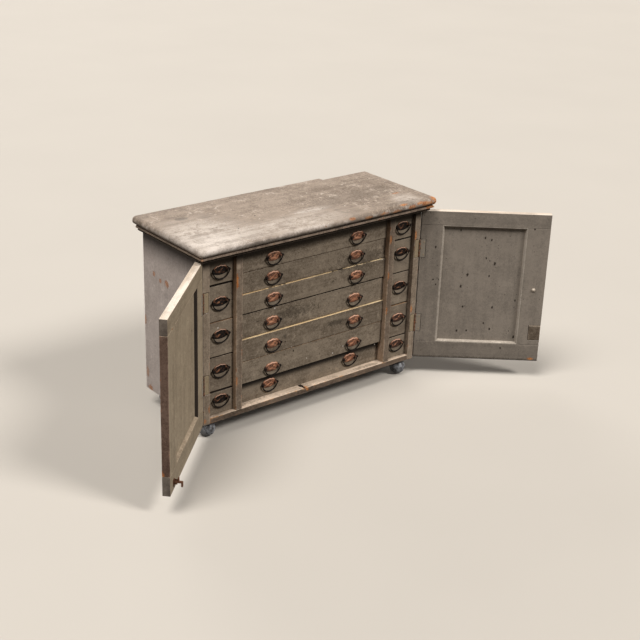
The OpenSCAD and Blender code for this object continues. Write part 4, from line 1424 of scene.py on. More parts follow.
@dataclass
class Carcass:
    """Sides, dividers, bottom, back and the boards inside."""

    hinge_slack: float = 1.0
    nail_r: float = 2.2
    nail_h: float = 0.9
    nail_in: float = 9.0
    nail_parts: tuple[float, float] = (0.18, 0.82)
    seam: float = 0.4

    def build(self) -> None:
        """Makes the boards and what fixes them."""
        for side in Side:
            settle(self._side(side), "carcass", [f"{side.word}_side"])
        settle(self._dividers(), "carcass", ["dividers"])
        settle(self._bottom(), "carcass", ["bottom_board"])
        settle(self._lintel(), "carcass", ["carcass_top"])
        settle(self._back(), "carcass", ["back_boards"])
        settle(self._runners(), "carcass", ["drawer_runners"])
        settle(self._nails(), "carcass", [])

    def _side(self, side: Side) -> bpy.types.Object:
        """Makes one side board, with the recesses of its hinges."""
        soup = Soup(f"{side.word}_side_board", [SIDE_PAINT, STILE_PAINT, UPRIGHT_PAINT, GAP_SHADE],
                    seed=20 + side.value)
        outer, inner = HALF_W * side.value, (HALF_W - SIDE_T) * side.value
        leaf = (HALF_W - LEAF_W - self.hinge_slack) * side.value
        cuts = []
        for z in HINGE_ZS:
            span = HINGE_L / 2 + self.hinge_slack
            low, high = sorted((outer + 2 * side.value, leaf))
            cuts.append(Cut((low, -1.0, z - span), (high, LEAF_T + self.hinge_slack, z + span)))
            low, high = sorted((outer + 2 * side.value, outer - RELIEF * side.value))
            cuts.append(Cut((low, -1.0, z - span), (high, RELIEF - 0.4, z + span)))
        low, high = sorted((outer, inner))
        # The hinge recesses' faces take painted shade, so the hinges show a dark outline.
        soup.board((low, 0.0, FLOOR_Z), (high, CARCASS_D, TOP_Z), Grain.Z, cuts, 0,
                   {"-y": 1, "-x" if side is Side.RIGHT else "+x": 2}, 3, 1.4)
        return soup.build()

    def _dividers(self) -> bpy.types.Object:
        """Makes the two uprights between the columns."""
        soup = Soup("divider_boards", [UPRIGHT_PAINT, RECESS_PAINT], seed=23)
        for x in (LEFT_X + LEFT_W, CENTRE_X + CENTRE_W):
            # Both sides of a divider take the lightened paint, painted light against their shade.
            soup.board((x, 0.0, SHELF_Z), (x + DIVIDER_T, INNER_D, LINTEL_Z), Grain.Z,
                       sides={"-x": 1, "+x": 1}, rounding=1.6, wobble=0.3)
        return soup.build()

    def _bottom(self) -> bpy.types.Object:
        """Makes the bottom board with the catch's pocket and the worn way into it."""
        soup = Soup("bottom_plank", [LEDGE_PAINT, EDGE_BROWN, GAP_SHADE, LEDGE_FRONT], seed=24)
        cuts = [Cut((CATCH_X - 7, 15.5, SHELF_Z - 7), (CATCH_X + 7, 30.5, SHELF_Z + 1)),
                Cut((CATCH_X - 3, -1.0, SHELF_Z - 3), (CATCH_X + 5, 16.0, SHELF_Z + 1))]
        # The pocket and the way into it are lined with painted shade.
        soup.board((LEFT_X, 0.0, FLOOR_Z), (-LEFT_X, INNER_D, SHELF_Z), Grain.X, cuts, 0, {"-z": 1, "-y": 3}, 2,
                   rounding=1.8, step=18.0, wobble=0.5)
        return soup.build()

    def _lintel(self) -> bpy.types.Object:
        """Makes the board under the top."""
        soup = Soup("lintel_board", [BOX_WOOD], seed=25)
        soup.board((LEFT_X, 0.0, LINTEL_Z), (-LEFT_X, INNER_D, TOP_Z), Grain.X)
        return soup.build()

    def _back(self) -> bpy.types.Object:
        """Makes the back boards."""
        soup = Soup("back_planks", [BACK_WOOD], seed=26)
        for i in range(BACK_COUNT):
            x = LEFT_X + i * BACK_PITCH
            soup.board((x + self.seam, INNER_D, FLOOR_Z), (x + BACK_PITCH - self.seam, CARCASS_D, TOP_Z), Grain.Z,
                       rounding=0.8)
        return soup.build()

    @staticmethod
    def _runners() -> bpy.types.Object:
        """Lays a runner on each side of every drawer."""
        points, sizes = [], []
        for column in COLUMNS:
            for i, high in enumerate(column.rows):
                start = FRONT_RECESS + column.push[i] + FRONT_T + 2.0
                long = INNER_D - start
                for x in (column.x + RUNNER_W / 2, column.x + column.w - RUNNER_W / 2):
                    points.append(FRAME @ Vector((x, start + long / 2, column.foot(i) + high / 2)))
                    sizes.append((RUNNER_W, long, RUNNER_H))
        return sticks("runners", RUNNER_WOOD, points, sizes)

    def _nails(self) -> bpy.types.Object:
        """Drives the nails that hold the back boards."""
        points = []
        draw = random.Random(27)
        for i in range(BACK_COUNT):
            for part in self.nail_parts:
                for z in (FLOOR_Z + self.nail_in, TOP_Z - self.nail_in):
                    x = LEFT_X + (i + part) * BACK_PITCH + draw.uniform(-6, 6)
                    points.append(FRAME @ Vector((x, CARCASS_D + HEAD_OUT, z + draw.uniform(-2, 2))))
        return heads("back_nails", CATCH_IRON, points, [(0.0, 1.0, 0.0)] * len(points), self.nail_r, self.nail_h)


class BoxSlot(IntEnum):
    """Places of a drawer's finishes, of which the last four show on the top edges of fronts."""

    # WOOD is bare wood, TAN worn wood, CREAM and BROKEN bare wood painted light as highlights, DARK painted shade.
    PAINT = 0
    WOOD = 1
    CREAM = 2
    DARK = 3
    BROKEN = 4
    TAN = 5


@dataclass(frozen=True)
class Column:
    """One column of drawers.

    Its rows are heights. Each row is pushed in and has its pulls up from its foot, its front's top edge
    has a finish, and some of its front's lower edge is worn away. The pulls count from the column's middle.
    """

    word: str
    bails: str
    x: float
    w: float
    rows: tuple[float, ...]
    push: tuple[float, ...]
    ups: tuple[float, ...]
    heads: tuple[BoxSlot, ...]
    worn: tuple[float, ...]
    pulls: tuple[float, ...] = (0.0,)

    def foot(self, i: int) -> float:
        """Height of the foot of a row, counted from the top."""
        return LINTEL_Z - sum(self.rows[: i + 1])

    def axes(self, i: int, off: float) -> list[Triple]:
        """Middles of the bails' axes on a row, set off from the drawer's front."""
        y, z = FRONT_RECESS + self.push[i] - off, self.foot(i) + self.ups[i]
        return [(self.x + self.w / 2 + x, y, z) for x in self.pulls]


COLUMNS = (
    Column(
        "centre", "centre_bails", CENTRE_X, CENTRE_W, CENTRE_ROWS, push=(1.0, 4.0, 0.0, 5.0, 0.0, 2.0, 15.0),
        ups=(33.0, 36.0, 36.0, 36.0, 36.0, 36.0, 42.0),
        heads=(BoxSlot.DARK, BoxSlot.TAN, BoxSlot.BROKEN, BoxSlot.DARK, BoxSlot.CREAM, BoxSlot.TAN, BoxSlot.DARK),
        worn=(0.4, 0.0, 3.4, 0.0, 0.8, 5.0, 0.0), pulls=(-PULL_SPREAD, PULL_SPREAD)),
    Column(
        "left", "left_bail", LEFT_X, LEFT_W, SIDE_ROWS, push=(0.0, 2.0, 0.0, 1.0, 0.0),
        ups=(48.0, 64.0, 74.0, 74.0, 50.0),
        heads=(BoxSlot.DARK, BoxSlot.DARK, BoxSlot.TAN, BoxSlot.DARK, BoxSlot.DARK), worn=(5.0, 0.4, 1.8, 3.6, 0.0)),
    Column(
        "right", "right_bail", RIGHT_X, RIGHT_W, SIDE_ROWS, push=(0.0, 0.0, 1.0, 0.0, 0.0),
        ups=(48.0, 74.0, 69.0, 69.0, 50.0),
        heads=(BoxSlot.DARK, BoxSlot.DARK, BoxSlot.DARK, BoxSlot.TAN, BoxSlot.DARK), worn=(2.6, 1.4, 2.2, 1.4, 0.0)),
)


class Relief(Enum):
    """How a plate is raised."""

    SHELL = "a dome with lumps and a rim"
    LEAF = "lumps under a rim"


@dataclass
class Pull:
    """A scalloped plate with two studs, and the bail between them."""

    arch: tuple[float, float, float] = (0.0, 3.0, 13.2)
    shoulder: tuple[float, float, float] = (12.0, 1.5, 12.4)
    end: tuple[float, float, float] = (22.6, 0.0, 7.8)
    below: float = 15.0
    off: float = 7.0
    bail_r: float = 29.0
    bail_drop: float = 27.6
    bail_lean: float = 3.4
    wire_r: float = 2.1
    ball_r: float = 4.0
    pin_r: float = 1.7
    pin_x: float = 17.0
    post_x: float = 21.5
    post_reach: float = 10.6
    edge: float = 0.9
    points: int = 120

    def outline(self) -> list[tuple[float, float]]:
        """The plate's outline about the bail's axis."""
        rounds = [self.arch, self.shoulder, (-self.shoulder[0], *self.shoulder[1:]), self.end,
                  (-self.end[0], *self.end[1:])]
        found = []
        for k in range(self.points):
            angle = 2 * math.pi * k / self.points
            dx, dz = math.cos(angle), math.sin(angle)
            reach = 0.0
            for cx, cz, radius in rounds:
                ahead = dx * cx + dz * cz
                gap = cx * cx + cz ** 2 - radius * radius
                if ahead * ahead >= gap:
                    reach = max(reach, ahead + math.sqrt(ahead * ahead - gap))
            if dz < 0:
                reach = 1.0 / math.hypot(dx / (self.end[0] + self.end[2]), dz / self.below)
            found.append((reach * dx, reach * dz))
        return found

    @staticmethod
    def _lumps(seed: int) -> list[tuple[float, ...]]:
        """Uneven lumps, each with its middle, half width, half height, slope and strength."""
        draw = np.random.default_rng(seed).uniform
        usual = ((-6.0, -4.0, 9.0, 3.4, 0.25, 0.85), (4.0, 2.6, 6.0, 2.4, 0.4, 0.6),
                 (13.0, -2.0, 3.4, 2.6, -0.3, 0.4), (-17.0, 0.5, 4.0, 2.4, 0.3, 0.55),
                 (8.0, -8.5, 5.0, 1.8, 0.1, 0.45), (20.0, 2.0, 3.0, 2.0, 0.0, 0.35))
        return [(x + draw(-3, 3), z + draw(-1.5, 1.5), w * draw(0.7, 1.3), h * draw(0.7, 1.3),
                 slope + draw(-0.3, 0.3), strong * draw(0.6, 1.15)) for x, z, w, h, slope, strong in usual]

    def _emboss(self, relief: Relief, lumps: list[tuple[float, ...]], x: float, z: float,
                part: float) -> tuple[float, float]:
        """Height of the plate's relief, and its brightness, which holds patina and painted light.

        Args:
            relief: The plate's form.
            lumps: The plate's lumps.
            x: Place across the plate.
            z: Place above the bail's axis.
            part: Place from the middle, at 0, to the outline, at 1.

        Returns:
            The height in millimetres, and the brightness from 0 to 1.
        """
        # Painted light: crest and rim brighten the rim's upper part as a highlight, and middle darkens the plate's
        # ends by the studs as painted shade.
        crest = 1.0 / (1.0 + math.exp(-(z - 7.5) / 2.0))
        middle = 1.0 / (1.0 + math.exp((abs(x + 1.0) - 23.0) / 2.0))
        rim = math.exp(-((part - 0.89) / 0.1) ** 2) * crest
        raised = max(strong * math.exp(-((x - cx) / w) ** 2 - ((z - cz - slope * (x - cx)) / h) ** 2)
                     for cx, cz, w, h, slope, strong in lumps)
        if relief is Relief.SHELL:
            dome = max(0.0, 1.0 - part ** 2.6) ** 0.6
            return self.edge + 2.4 * dome + 1.8 * raised + 0.8 * rim, (0.34 + 0.95 * raised + 1.3 * rim) * middle
        return self.edge + part * (1.0 - part) + 2.8 * raised + 1.6 * rim, (0.95 * raised + 1.9 * rim) * middle

    def plate(self, soup: Soup, at: Triple, relief: Relief, seed: int) -> None:
        """Adds the embossed plate and its studs to a drawer's piece.

        Args:
            soup: The drawer's plates.
            at: Middle of the bail's axis on the drawer's front.
            relief: The plate's form.
            seed: What makes its lumps its own.
        """
        outline = self.outline()
        lumps = self._lumps(seed)
        count = len(outline)
        rings = (1.0, 1.0, 0.97, 0.93, 0.89, 0.84, 0.76, 0.66, 0.55, 0.44, 0.33, 0.22, 0.11)
        points: list[Triple] = []
        # Brightness of each point: patina in the hollows, painted highlight and painted shade.
        glow: list[float] = []
        for i, scale in enumerate(rings):
            for x, z in outline:
                lift, bright = self._emboss(relief, lumps, x * scale, z * scale, scale)
                points.append((x * scale, -(0.0 if i == 0 else self.edge if i == 1 else lift), z * scale))
                glow.append(bright)
        lift, bright = self._emboss(relief, lumps, 0.0, 0.0, 0.0)
        points.append((0.0, -lift, 0.0))
        glow.append(bright)
        faces = quads(len(rings), count)
        last = (len(rings) - 1) * count
        faces += [[last + k, last + (k + 1) % count, len(points) - 1] for k in range(count)]
        faces.append(list(range(count))[::-1])
        move = Matrix.Translation(at)
        wear = np.zeros((len(points), 3))
        wear[:, 0] = glow
        soup.add(np.array(points), faces, wear=wear, turn=move)
        stud = [(4.6, 1.0), (4.4, 1.9), (3.3, 2.7), (2.9, 4.0), (3.4, 5.3), (3.6, 7.0), (3.3, 8.9), (2.2, 10.2),
                (0.0, self.post_reach)]
        for side in (-1, 1):
            turn = move @ Matrix.Translation((side * self.post_x, 0, 0)) @ Matrix.Rotation(math.pi / 2, 4, "X")
            soup.lathe(stud, turn, 0, 20, 0.3)

    def bail(self, soup: Soup, at: Triple) -> None:
        """Adds a bail that hangs from its axis.

        Args:
            soup: The drawer's bails.
            at: Middle of its axis.
        """
        move = Matrix.Translation(at)
        arc = [math.pi * k / 36 for k in range(37)]
        path = [Vector((-self.bail_r * math.cos(a), self.bail_lean * math.sin(a), -self.bail_drop * math.sin(a)))
                for a in arc]
        radii = [self.wire_r * (0.86 + 0.28 * math.sin(a) ** 2) for a in arc]
        soup.tube(path, radii, move)
        ball = [(self.ball_r * math.sin(a), -self.ball_r * math.cos(a)) for a in arc[::3]]
        ball[0], ball[-1] = (0.0, -self.ball_r), (0.0, self.ball_r)
        for side in (-1, 1):
            soup.lathe(ball, move @ Matrix.Translation((side * self.bail_r, 0, 0)), 0, 18)
            pin = [(0.0, 0.0), (self.pin_r, 0.3), (self.pin_r, self.bail_r - self.pin_x)]
            turn = move @ Matrix.Translation((side * self.pin_x, 0, 0)) @ Matrix.Rotation(side * math.pi / 2, 4, "Y")
            soup.lathe(pin, turn, 0, 12)


@dataclass
class Drawers:
    """All drawers with their pulls and bails."""

    side_gap: float = 1.0
    row_gap: float = 1.0
    side_t: float = 10.0
    bottom_t: float = 5.0
    drop: float = 5.0
    seam: float = 0.1
    groove_slack: float = 0.3
    pull: Pull = field(default_factory=Pull)

    def build(self) -> None:
        """Makes every drawer."""
        for c, column in enumerate(COLUMNS):
            for i in range(len(column.rows)):
                node = f"{column.word}_drawer_{i + 1}"
                settle(self._box(column, i, 100 + 10 * c + i), node, [node])
                settle(self._plates(column, i), node, [])
                bail = f"{column.bails}_{i + 1}"
                settle(self._bails(column, i), bail, [bail])

    def _box(self, column: Column, i: int, seed: int) -> bpy.types.Object:
        """Makes a drawer's front, sides, back and bottom."""
        front = DRAWER_PAINT if column.word == "centre" else SMALL_PAINT
        paint = SUNK_PAINT if column.push[i] > SUNK_PUSH else front
        soup = Soup(f"{column.word}_drawer_{i + 1}_box",
                    [paint, BOX_WOOD, CREAM_EDGE, GAP_SHADE, BROKEN_EDGE, TAN_EDGE], seed)
        x0, x1 = column.x + self.side_gap, column.x + column.w - self.side_gap
        z0 = column.foot(i) + self.row_gap
        high = column.rows[i] - 2 * self.row_gap
        y0 = FRONT_RECESS + column.push[i]
        y1 = y0 + DRAWER_D
        # The front's sides and underside take painted shade, so the gaps between drawers show dark.
        bare = {"+z": column.heads[i], "+y": BoxSlot.WOOD} | dict.fromkeys(("-z", "-x", "+x"), BoxSlot.DARK)
        soup.board((x0, y0, z0 + column.worn[i]), (x1, y0 + FRONT_T, z0 + high), Grain.X, sides=bare, rounding=1.1)
        low = z0 + self.bottom_t + self.seam
        head = z0 + high - self.drop
        box_y = y0 + FRONT_T + self.seam
        plain = {"slot": BoxSlot.WOOD, "wobble": 0.1}
        soup.board((x0, box_y, z0), (x1, y1, z0 + self.bottom_t), Grain.X, rounding=0.6, **plain)
        groove_z = z0 + (high - RUNNER_H) / 2 - self.groove_slack
        groove_d = RUNNER_W - self.side_gap + self.groove_slack
        for left in (True, False):
            a = x0 if left else x1 - self.side_t
            g0 = a - 1.0 if left else a + self.side_t - groove_d
            g1 = a + groove_d if left else a + self.side_t + 1.0
            groove = Cut((g0, box_y - 1.0, groove_z), (g1, y1 + 1.0, groove_z + RUNNER_H + 2 * self.groove_slack))
            soup.board((a, box_y, low), (a + self.side_t, y1, head), Grain.Y, (groove,), rounding=0.7, **plain)
        soup.board((x0 + self.side_t + self.seam, y1 - self.side_t, low),
                   (x1 - self.side_t - self.seam, y1, head), Grain.X, rounding=0.7, **plain)
        return soup.build()

    def _plates(self, column: Column, i: int) -> bpy.types.Object:
        """Makes a drawer's plates and studs."""
        relief = Relief.SHELL if column.word == "centre" else Relief.LEAF
        plate = COPPER if column.word == "centre" or (column.word == "right" and i > 2) else DARK_COPPER
        soup = Soup(f"{column.word}_drawer_{i + 1}_pulls", [plate], seed=200 + i)
        for k, at in enumerate(column.axes(i, 0.0)):
            self.pull.plate(soup, at, relief, int(column.x) + 2000 + 10 * i + k)
        return soup.build(tidy=True)

    def _bails(self, column: Column, i: int) -> bpy.types.Object:
        """Makes a drawer's bails."""
        soup = Soup(f"{column.bails}_{i + 1}_wire", [WIRE_IRON], seed=300 + i)
        for at in column.axes(i, self.pull.off):
            self.pull.bail(soup, at)
        return soup.build(tidy=True)


class DoorSlot(IntEnum):
    """Places of a door frame's finishes."""

    INSIDE = 0
    OUTSIDE = 1
    PALE = 2
    # Slot 3 is painted shade, inside cuts and on the left door's far bead.
    GRIME = 3
    BROWN = 4
    GREY = 5
    BLOCK = 6
    BEAD = 7


class IronSlot(IntEnum):
    """Places of a door's iron finishes."""

    LEAF = 0
    CATCH = 1
    KNUCKLE = 2
    BOLT = 3


@dataclass
class Door:
    """A panelled door, its hinges' leaves and its catch or knob, drawn closed and swung open."""

    side: Side
    opened: float
    paint: PaintedWood
    bead: PaintedWood
    leaf_slack: float = 1.0
    rebate: float = 2.4
    seam: float = 0.6
    knob_z: float = 264.0
    knob_r: float = 14.0

    def build(self) -> None:
        """Makes the door's pieces."""
        word = self.side.word
        body = f"{word}_door"
        settle(self._frame(), body, [f"{word}_door_frame"])
        settle(self._panel(), body, [f"{word}_door_panel"])
        settle(self._ironwork(), body, [f"{word}_door_ironwork"])
        settle(self._screws(), body, [])
        if self.side is Side.LEFT:
            settle(self._lever(), "catch", ["catch_lever"])

    @property
    def swing(self) -> Matrix:
        """Takes the closed door to where it stands open, in the source's frame."""
        pin = Vector((self.side.value * (HALF_W + HINGE_OUT), -DOOR_GAP / 2, 0.0))
        turn = Matrix.Rotation(math.radians(self.side.value * self.opened), 4, "Z")
        return Matrix.Translation(pin) @ turn @ Matrix.Translation(-pin)

    def _span(self, near: float, far: float) -> tuple[float, float]:
        """Two distances from the hinged edge as X in rising order."""
        edge = self.side.value * HALF_W
        low, high = sorted((edge - self.side.value * near, edge - self.side.value * far))
        return low, high

    def _plank(self, soup: Soup, near: float, far: float, z0: float, z1: float, grain: Grain,
               cuts: Sequence[Cut], ends: dict[str, int]) -> None:
        """Adds one plank of the frame.

        Args:
            soup: The frame.
            near: Its start from the hinged edge.
            far: Its end from the hinged edge.
            z0: Its foot.
            z1: Its head.
            grain: Axis of its grain.
            cuts: Recesses in it.
            ends: Finishes of its outer faces.
        """
        low, high = self._span(near, far)
        # Faces inside the plank's cuts take painted shade.
        soup.board((low, -DOOR_GAP - DOOR_T, z0), (high, -DOOR_GAP, z1), grain, cuts, DoorSlot.INSIDE, ends,
                   DoorSlot.GRIME, turn=self.swing)

    def _frame(self) -> bpy.types.Object:
        """Makes the rails, the stiles and the bead round the panel."""
        soup = Soup(f"{self.side.word}_door_boards",
                    [self.paint, DOOR_OUTSIDE, PALE_EDGE, GAP_SHADE, EDGE_BROWN, END_GREY, BLOCK_PAINT, self.bead],
                    seed=40 + self.side.value)
        free = "+x" if self.side is Side.LEFT else "-x"
        foot, head = PANEL_FOOT + self.seam, PANEL_HEAD - self.seam
        cuts = []
        for z in HINGE_ZS:
            half = HINGE_L / 2 + self.leaf_slack
            x0, x1 = self._span(-2.0, LEAF_W + self.leaf_slack)
            cuts.append(Cut((x0, -DOOR_GAP - LEAF_T - 0.1, z - half), (x1, 0.0, z + half)))
            x0, x1 = self._span(-2.0, RELIEF)
            cuts.append(Cut((x0, -DOOR_GAP - RELIEF + 0.4, z - half), (x1, 0.0, z + half)))
        outside = {"-y": DoorSlot.OUTSIDE}
        # A rebate along the hinged edge, lined with painted shade, shows as a dark line by the hinges.
        x0, x1 = self._span(-2.0, self.rebate)
        line = Cut((x0, -DOOR_GAP - self.rebate, 0.0), (x1, 0.0, LINTEL_Z))
        cuts.append(line)
        under = {**outside, "-z": DoorSlot.BROWN, free: DoorSlot.GREY}
        # The top rail's top edge is pale bare wood, lightened as a painted highlight.
        over = {**outside, "+z": DoorSlot.PALE, free: DoorSlot.GREY}
        self._plank(soup, 0.0, DOOR_W, DOOR_FOOT, PANEL_FOOT, Grain.X, (line,), under)
        self._plank(soup, 0.0, DOOR_W, PANEL_HEAD, DOOR_HEAD, Grain.X, (line,), over)
        self._plank(soup, 0.0, PANEL_NEAR, foot, head, Grain.Z, cuts, outside)
        block = self._block(soup) if self.side is Side.RIGHT else []
        lock = {**outside, free: DoorSlot.BROWN}
        self._plank(soup, PANEL_FAR, DOOR_W, foot, head, Grain.Z, block, lock)
        self._bead(soup)
        return soup.build()

    def _block(self, soup: Soup) -> list[Cut]:
        """Adds the block let into the right door's lock stile, with a pale splinter above it.

        Args:
            soup: The frame.

        Returns:
            The recess that holds it.
        """
        low, high = self._span(DOOR_W - 41.0, DOOR_W + 2.0)
        face = -DOOR_GAP
        inner, outer = self._span(DOOR_W - 39.6, DOOR_W)
        soup.board((inner, face - 2.6, 145.4), (outer, face - 0.3, 196.0), Grain.X, (), DoorSlot.BLOCK,
                   {"+z": DoorSlot.PALE}, rounding=0.8, turn=self.swing)
        soup.board((inner, face - 2.6, 197.2), (outer, face - 0.1, 198.8), Grain.X, (), DoorSlot.PALE,
                   rounding=0.3, turn=self.swing)
        return [Cut((low, face - 2.7, 144.0), (high, 0.0, 199.6))]

    def _bead(self, soup: Soup) -> None:
        """Adds the sloping bead on the four sides of the panel."""
        section = [(0.1, PANEL_RECESS), (0.1, 0.1), (2.4, 0.1), (3.4, 0.6), (5.2, 3.6), (7.0, PANEL_RECESS - 1.0),
                   (BEAD_W, PANEL_RECESS)]
        # rub pales the bead's slope, as wear and as a painted highlight.
        rub = [0.0, 0.0, 0.5, 0.9, 0.5, 0.2, 0.0]
        low, high = self._span(PANEL_NEAR, PANEL_FAR)

        def ring(x: float, z: float, way_x: int, way_z: int) -> list[Triple]:
            """The section at a corner, set in from it along both sides."""
            return [(x + way_x * u, -DOOR_GAP - v, z + way_z * u) for u, v in section]

        corners = [ring(low, PANEL_FOOT, 1, 1), ring(high, PANEL_FOOT, -1, 1), ring(high, PANEL_HEAD, -1, -1),
                   ring(low, PANEL_HEAD, 1, -1)]
        for i in range(4):
            # The left door's bead on its hinged side takes painted shade.
            dark = self.side is Side.LEFT and i == 3
            slot = DoorSlot.GRIME if dark else DoorSlot.BEAD
            soup.ruled(corners[i], corners[(i + 1) % 4], rub, slot, self.swing)

    def _panel(self) -> bpy.types.Object:
        """Makes the panel."""
        soup = Soup(f"{self.side.word}_panel_board", [self.paint, DOOR_OUTSIDE], seed=50 + self.side.value)
        low, high = self._span(PANEL_NEAR, PANEL_FAR)
        back = -DOOR_GAP - PANEL_RECESS
        soup.board((low, back - PANEL_T, PANEL_FOOT), (high, back, PANEL_HEAD), Grain.Z,
                   sides={"-y": DoorSlot.OUTSIDE}, rounding=0.0, turn=self.swing)
        return soup.build()

    def _ironwork(self) -> bpy.types.Object:
        """Makes the hinge leaves on the door, and the catch's base or the knob."""
        soup = Soup(f"{self.side.word}_door_iron", [DOOR_HINGE_IRON, CATCH_IRON, KNUCKLE_IRON, BOLT_STEEL],
                    seed=60 + self.side.value)
        for z in HINGE_ZS:
            hinge_leaf(soup, self.side, z, -DOOR_GAP - LEAF_T, (1, 3), IronSlot.KNUCKLE, self.swing)
        if self.side is Side.LEFT:
            self._catch_base(soup)
        else:
            self._knob(soup)
        return soup.build(tidy=True)

    def _catch_base(self, soup: Soup) -> None:
        """Adds the plate, ears and pin of the elbow catch."""
        half, ear = 6.9, 4.4
        face = -DOOR_GAP
        soup.board((CATCH_X - half, face, SHELF_Z + 2), (CATCH_X + half, face + 2.5, SHELF_Z + 22.6), Grain.Z, (),
                   IronSlot.CATCH, rounding=0.5, turn=self.swing)
        for s in (-1, 1):
            low, high = sorted((CATCH_X + s * ear, CATCH_X + s * half))
            soup.board((low, face + 2.4, SHELF_Z + 9.9), (high, face + 12.5, SHELF_Z + 20.1), Grain.Z, (),
                       IronSlot.CATCH, rounding=0.8, turn=self.swing)
        pin = [(0.0, -8.0), (2.6, -7.8), (2.6, -6.9), (2.0, -6.8), (2.0, 6.8), (2.6, 6.9), (2.6, 7.8), (0.0, 8.0)]
        soup.lathe(pin, self._catch_pin, IronSlot.CATCH, 16)

    @property
    def _catch_pin(self) -> Matrix:
        """Lays a turned shape's own Z along the catch's pin."""
        spot = Matrix.Translation((CATCH_X, CATCH_PIN_Y, CATCH_PIN_Z))
        return self.swing @ spot @ Matrix.Rotation(math.pi / 2, 4, "Y")

    def _lever(self) -> bpy.types.Object:
        """Makes the catch's lever."""
        soup = Soup("catch_arm", [CATCH_IRON], seed=70)
        half = 4.0
        shapes = (((0.0, -2.5), (19.0, 2.5)), ((5.0, 2.0), (8.5, 14.0)), ((14.0, -14.2), (19.0, -2.0)))
        for (y0, z0), (y1, z1) in shapes:
            soup.board((CATCH_X - half, CATCH_PIN_Y + y0, CATCH_PIN_Z + z0),
                       (CATCH_X + half, CATCH_PIN_Y + y1, CATCH_PIN_Z + z1), Grain.Y, rounding=0.9, turn=self.swing)
        hub = [(2.2, -4.0), (4.8, -4.0), (5.1, -3.6), (5.1, 3.6), (4.8, 4.0), (2.2, 4.0)]
        soup.lathe(hub, self._catch_pin, 0, 24)
        return soup.build()

    def _knob(self, soup: Soup) -> None:
        """Adds the knob outside, and its bolt's end inside."""
        x = self.side.value * (HALF_W - DOOR_W + LOCK_STILE / 2)
        spot = Matrix.Translation((x, -DOOR_GAP, DOOR_FOOT + self.knob_z))
        turn = self.swing @ spot @ Matrix.Rotation(math.pi / 2, 4, "X")
        tip = [(0.0, -5.2), (2.4, -5.0), (3.0, -4.4), (3.0, -3.0), (5.4, -3.0), (6.0, -2.4), (6.0, 0.1)]
        soup.lathe(tip, turn, IronSlot.BOLT, 24)
        neck = [(11.0, 0.0), (11.0, 1.4), (10.2, 2.0), (7.4, 2.4), (6.6, 6.0), (7.0, 9.0)]
        ball = [math.radians(a) for a in range(34, 181, 12)]
        knob = [(radius, DOOR_T + out) for radius, out in neck]
        knob += [(self.knob_r * math.sin(a), DOOR_T + 21.0 - self.knob_r * math.cos(a)) for a in ball]
        knob.append((0.0, DOOR_T + 35.0))
        soup.lathe(knob, turn, IronSlot.CATCH, 32)

    def _screws(self) -> bpy.types.Object:
        """Drives the screws of the hinge leaves on the door."""
        aim = (self.swing.to_3x3() @ Vector((0.0, 1.0, 0.0)))[:]
        points = [FRAME @ self.swing @ spot for spot in screw_spots(self.side, -DOOR_GAP + HEAD_OUT)]
        return heads(f"{self.side.word}_door_screws", HINGE_IRON, points, [aim] * len(points), SCREW_R, SCREW_H)


def screw_spots(side: Side, y: float) -> list[Vector]:
    """Where the screws of a side's hinge leaves go, in the source's frame.

    Args:
        side: The hinges' side.
        y: Where the heads lie.

    Returns:
        The places, hinge by hinge.
    """
    x = side.value * (HALF_W - SCREW_IN)
    shifts = [SCREW_STAGGER * side.value * (1 if k % 2 else -1) for k in range(len(SCREW_LIFTS))]
    return [Vector((x + shift, y, z + lift)) for z in HINGE_ZS for shift, lift in zip(shifts, SCREW_LIFTS)]


def hinge_leaf(soup: Soup, side: Side, z: float, y: float, own: tuple[int, ...], rusty: int,
               turn: Matrix) -> None:
    """Adds a hinge's leaf with its own knuckles.

    Args:
        soup: The piece that it belongs to.
        side: The hinge's side.
        z: Its middle.
        y: The leaf's lower Y.
        own: Numbers of its knuckles from below.
        rusty: The knuckles' finish.
        turn: Where it goes in the source's frame.
    """
    pin = side.value * (HALF_W + HINGE_OUT)
    low, high = sorted((pin, side.value * (HALF_W - LEAF_W)))
    pitch = HINGE_L / 5
    foot = z - HINGE_L / 2
    cuts = []
    for k in range(5):
        if k not in own:
            a, b = sorted((pin - side.value * 3.8, pin + side.value * 2))
            cuts.append(Cut((a, y - 1, foot + k * pitch - 0.2), (b, y + LEAF_T + 1, foot + (k + 1) * pitch + 0.2)))
    trim = 0.6
    low, high = (low + trim, high) if side is Side.RIGHT else (low, high - trim)
    soup.board((low, y, foot + trim), (high, y + LEAF_T, foot + HINGE_L - trim), Grain.Z, cuts, 0, rounding=0.35,
               wobble=0.0, turn=turn)
    for k in own:
        barrel = [(0.0, 0.1), (3.0, 0.1), (KNUCKLE_R, 0.5), (KNUCKLE_R, pitch - 0.5), (3.0, pitch - 0.1),
                  (0.0, pitch - 0.1)]
        move = Matrix.Translation((pin, -DOOR_GAP / 2, foot + k * pitch))
        soup.lathe(barrel, turn @ move, rusty, 20)


@dataclass
class CarcassHinges:
    """The hinge leaves on the carcass, with their pins and screws."""

    def build(self) -> None:
        """Makes them."""
        soup = Soup("carcass_hinges", [HINGE_IRON, KNUCKLE_IRON], seed=80)
        points: list[Vector] = []
        for side in Side:
            for z in HINGE_ZS:
                hinge_leaf(soup, side, z, 0.0, (0, 2, 4), 1, Matrix.Identity(4))
            points += [FRAME @ spot for spot in screw_spots(side, -HEAD_OUT)]
        settle(soup.build(tidy=True), "carcass", ["hinge_leaves"])
        screws = heads("carcass_screws", HINGE_IRON, points, [(0.0, -1.0, 0.0)] * len(points), SCREW_R, SCREW_H)
        settle(screws, "carcass", [])


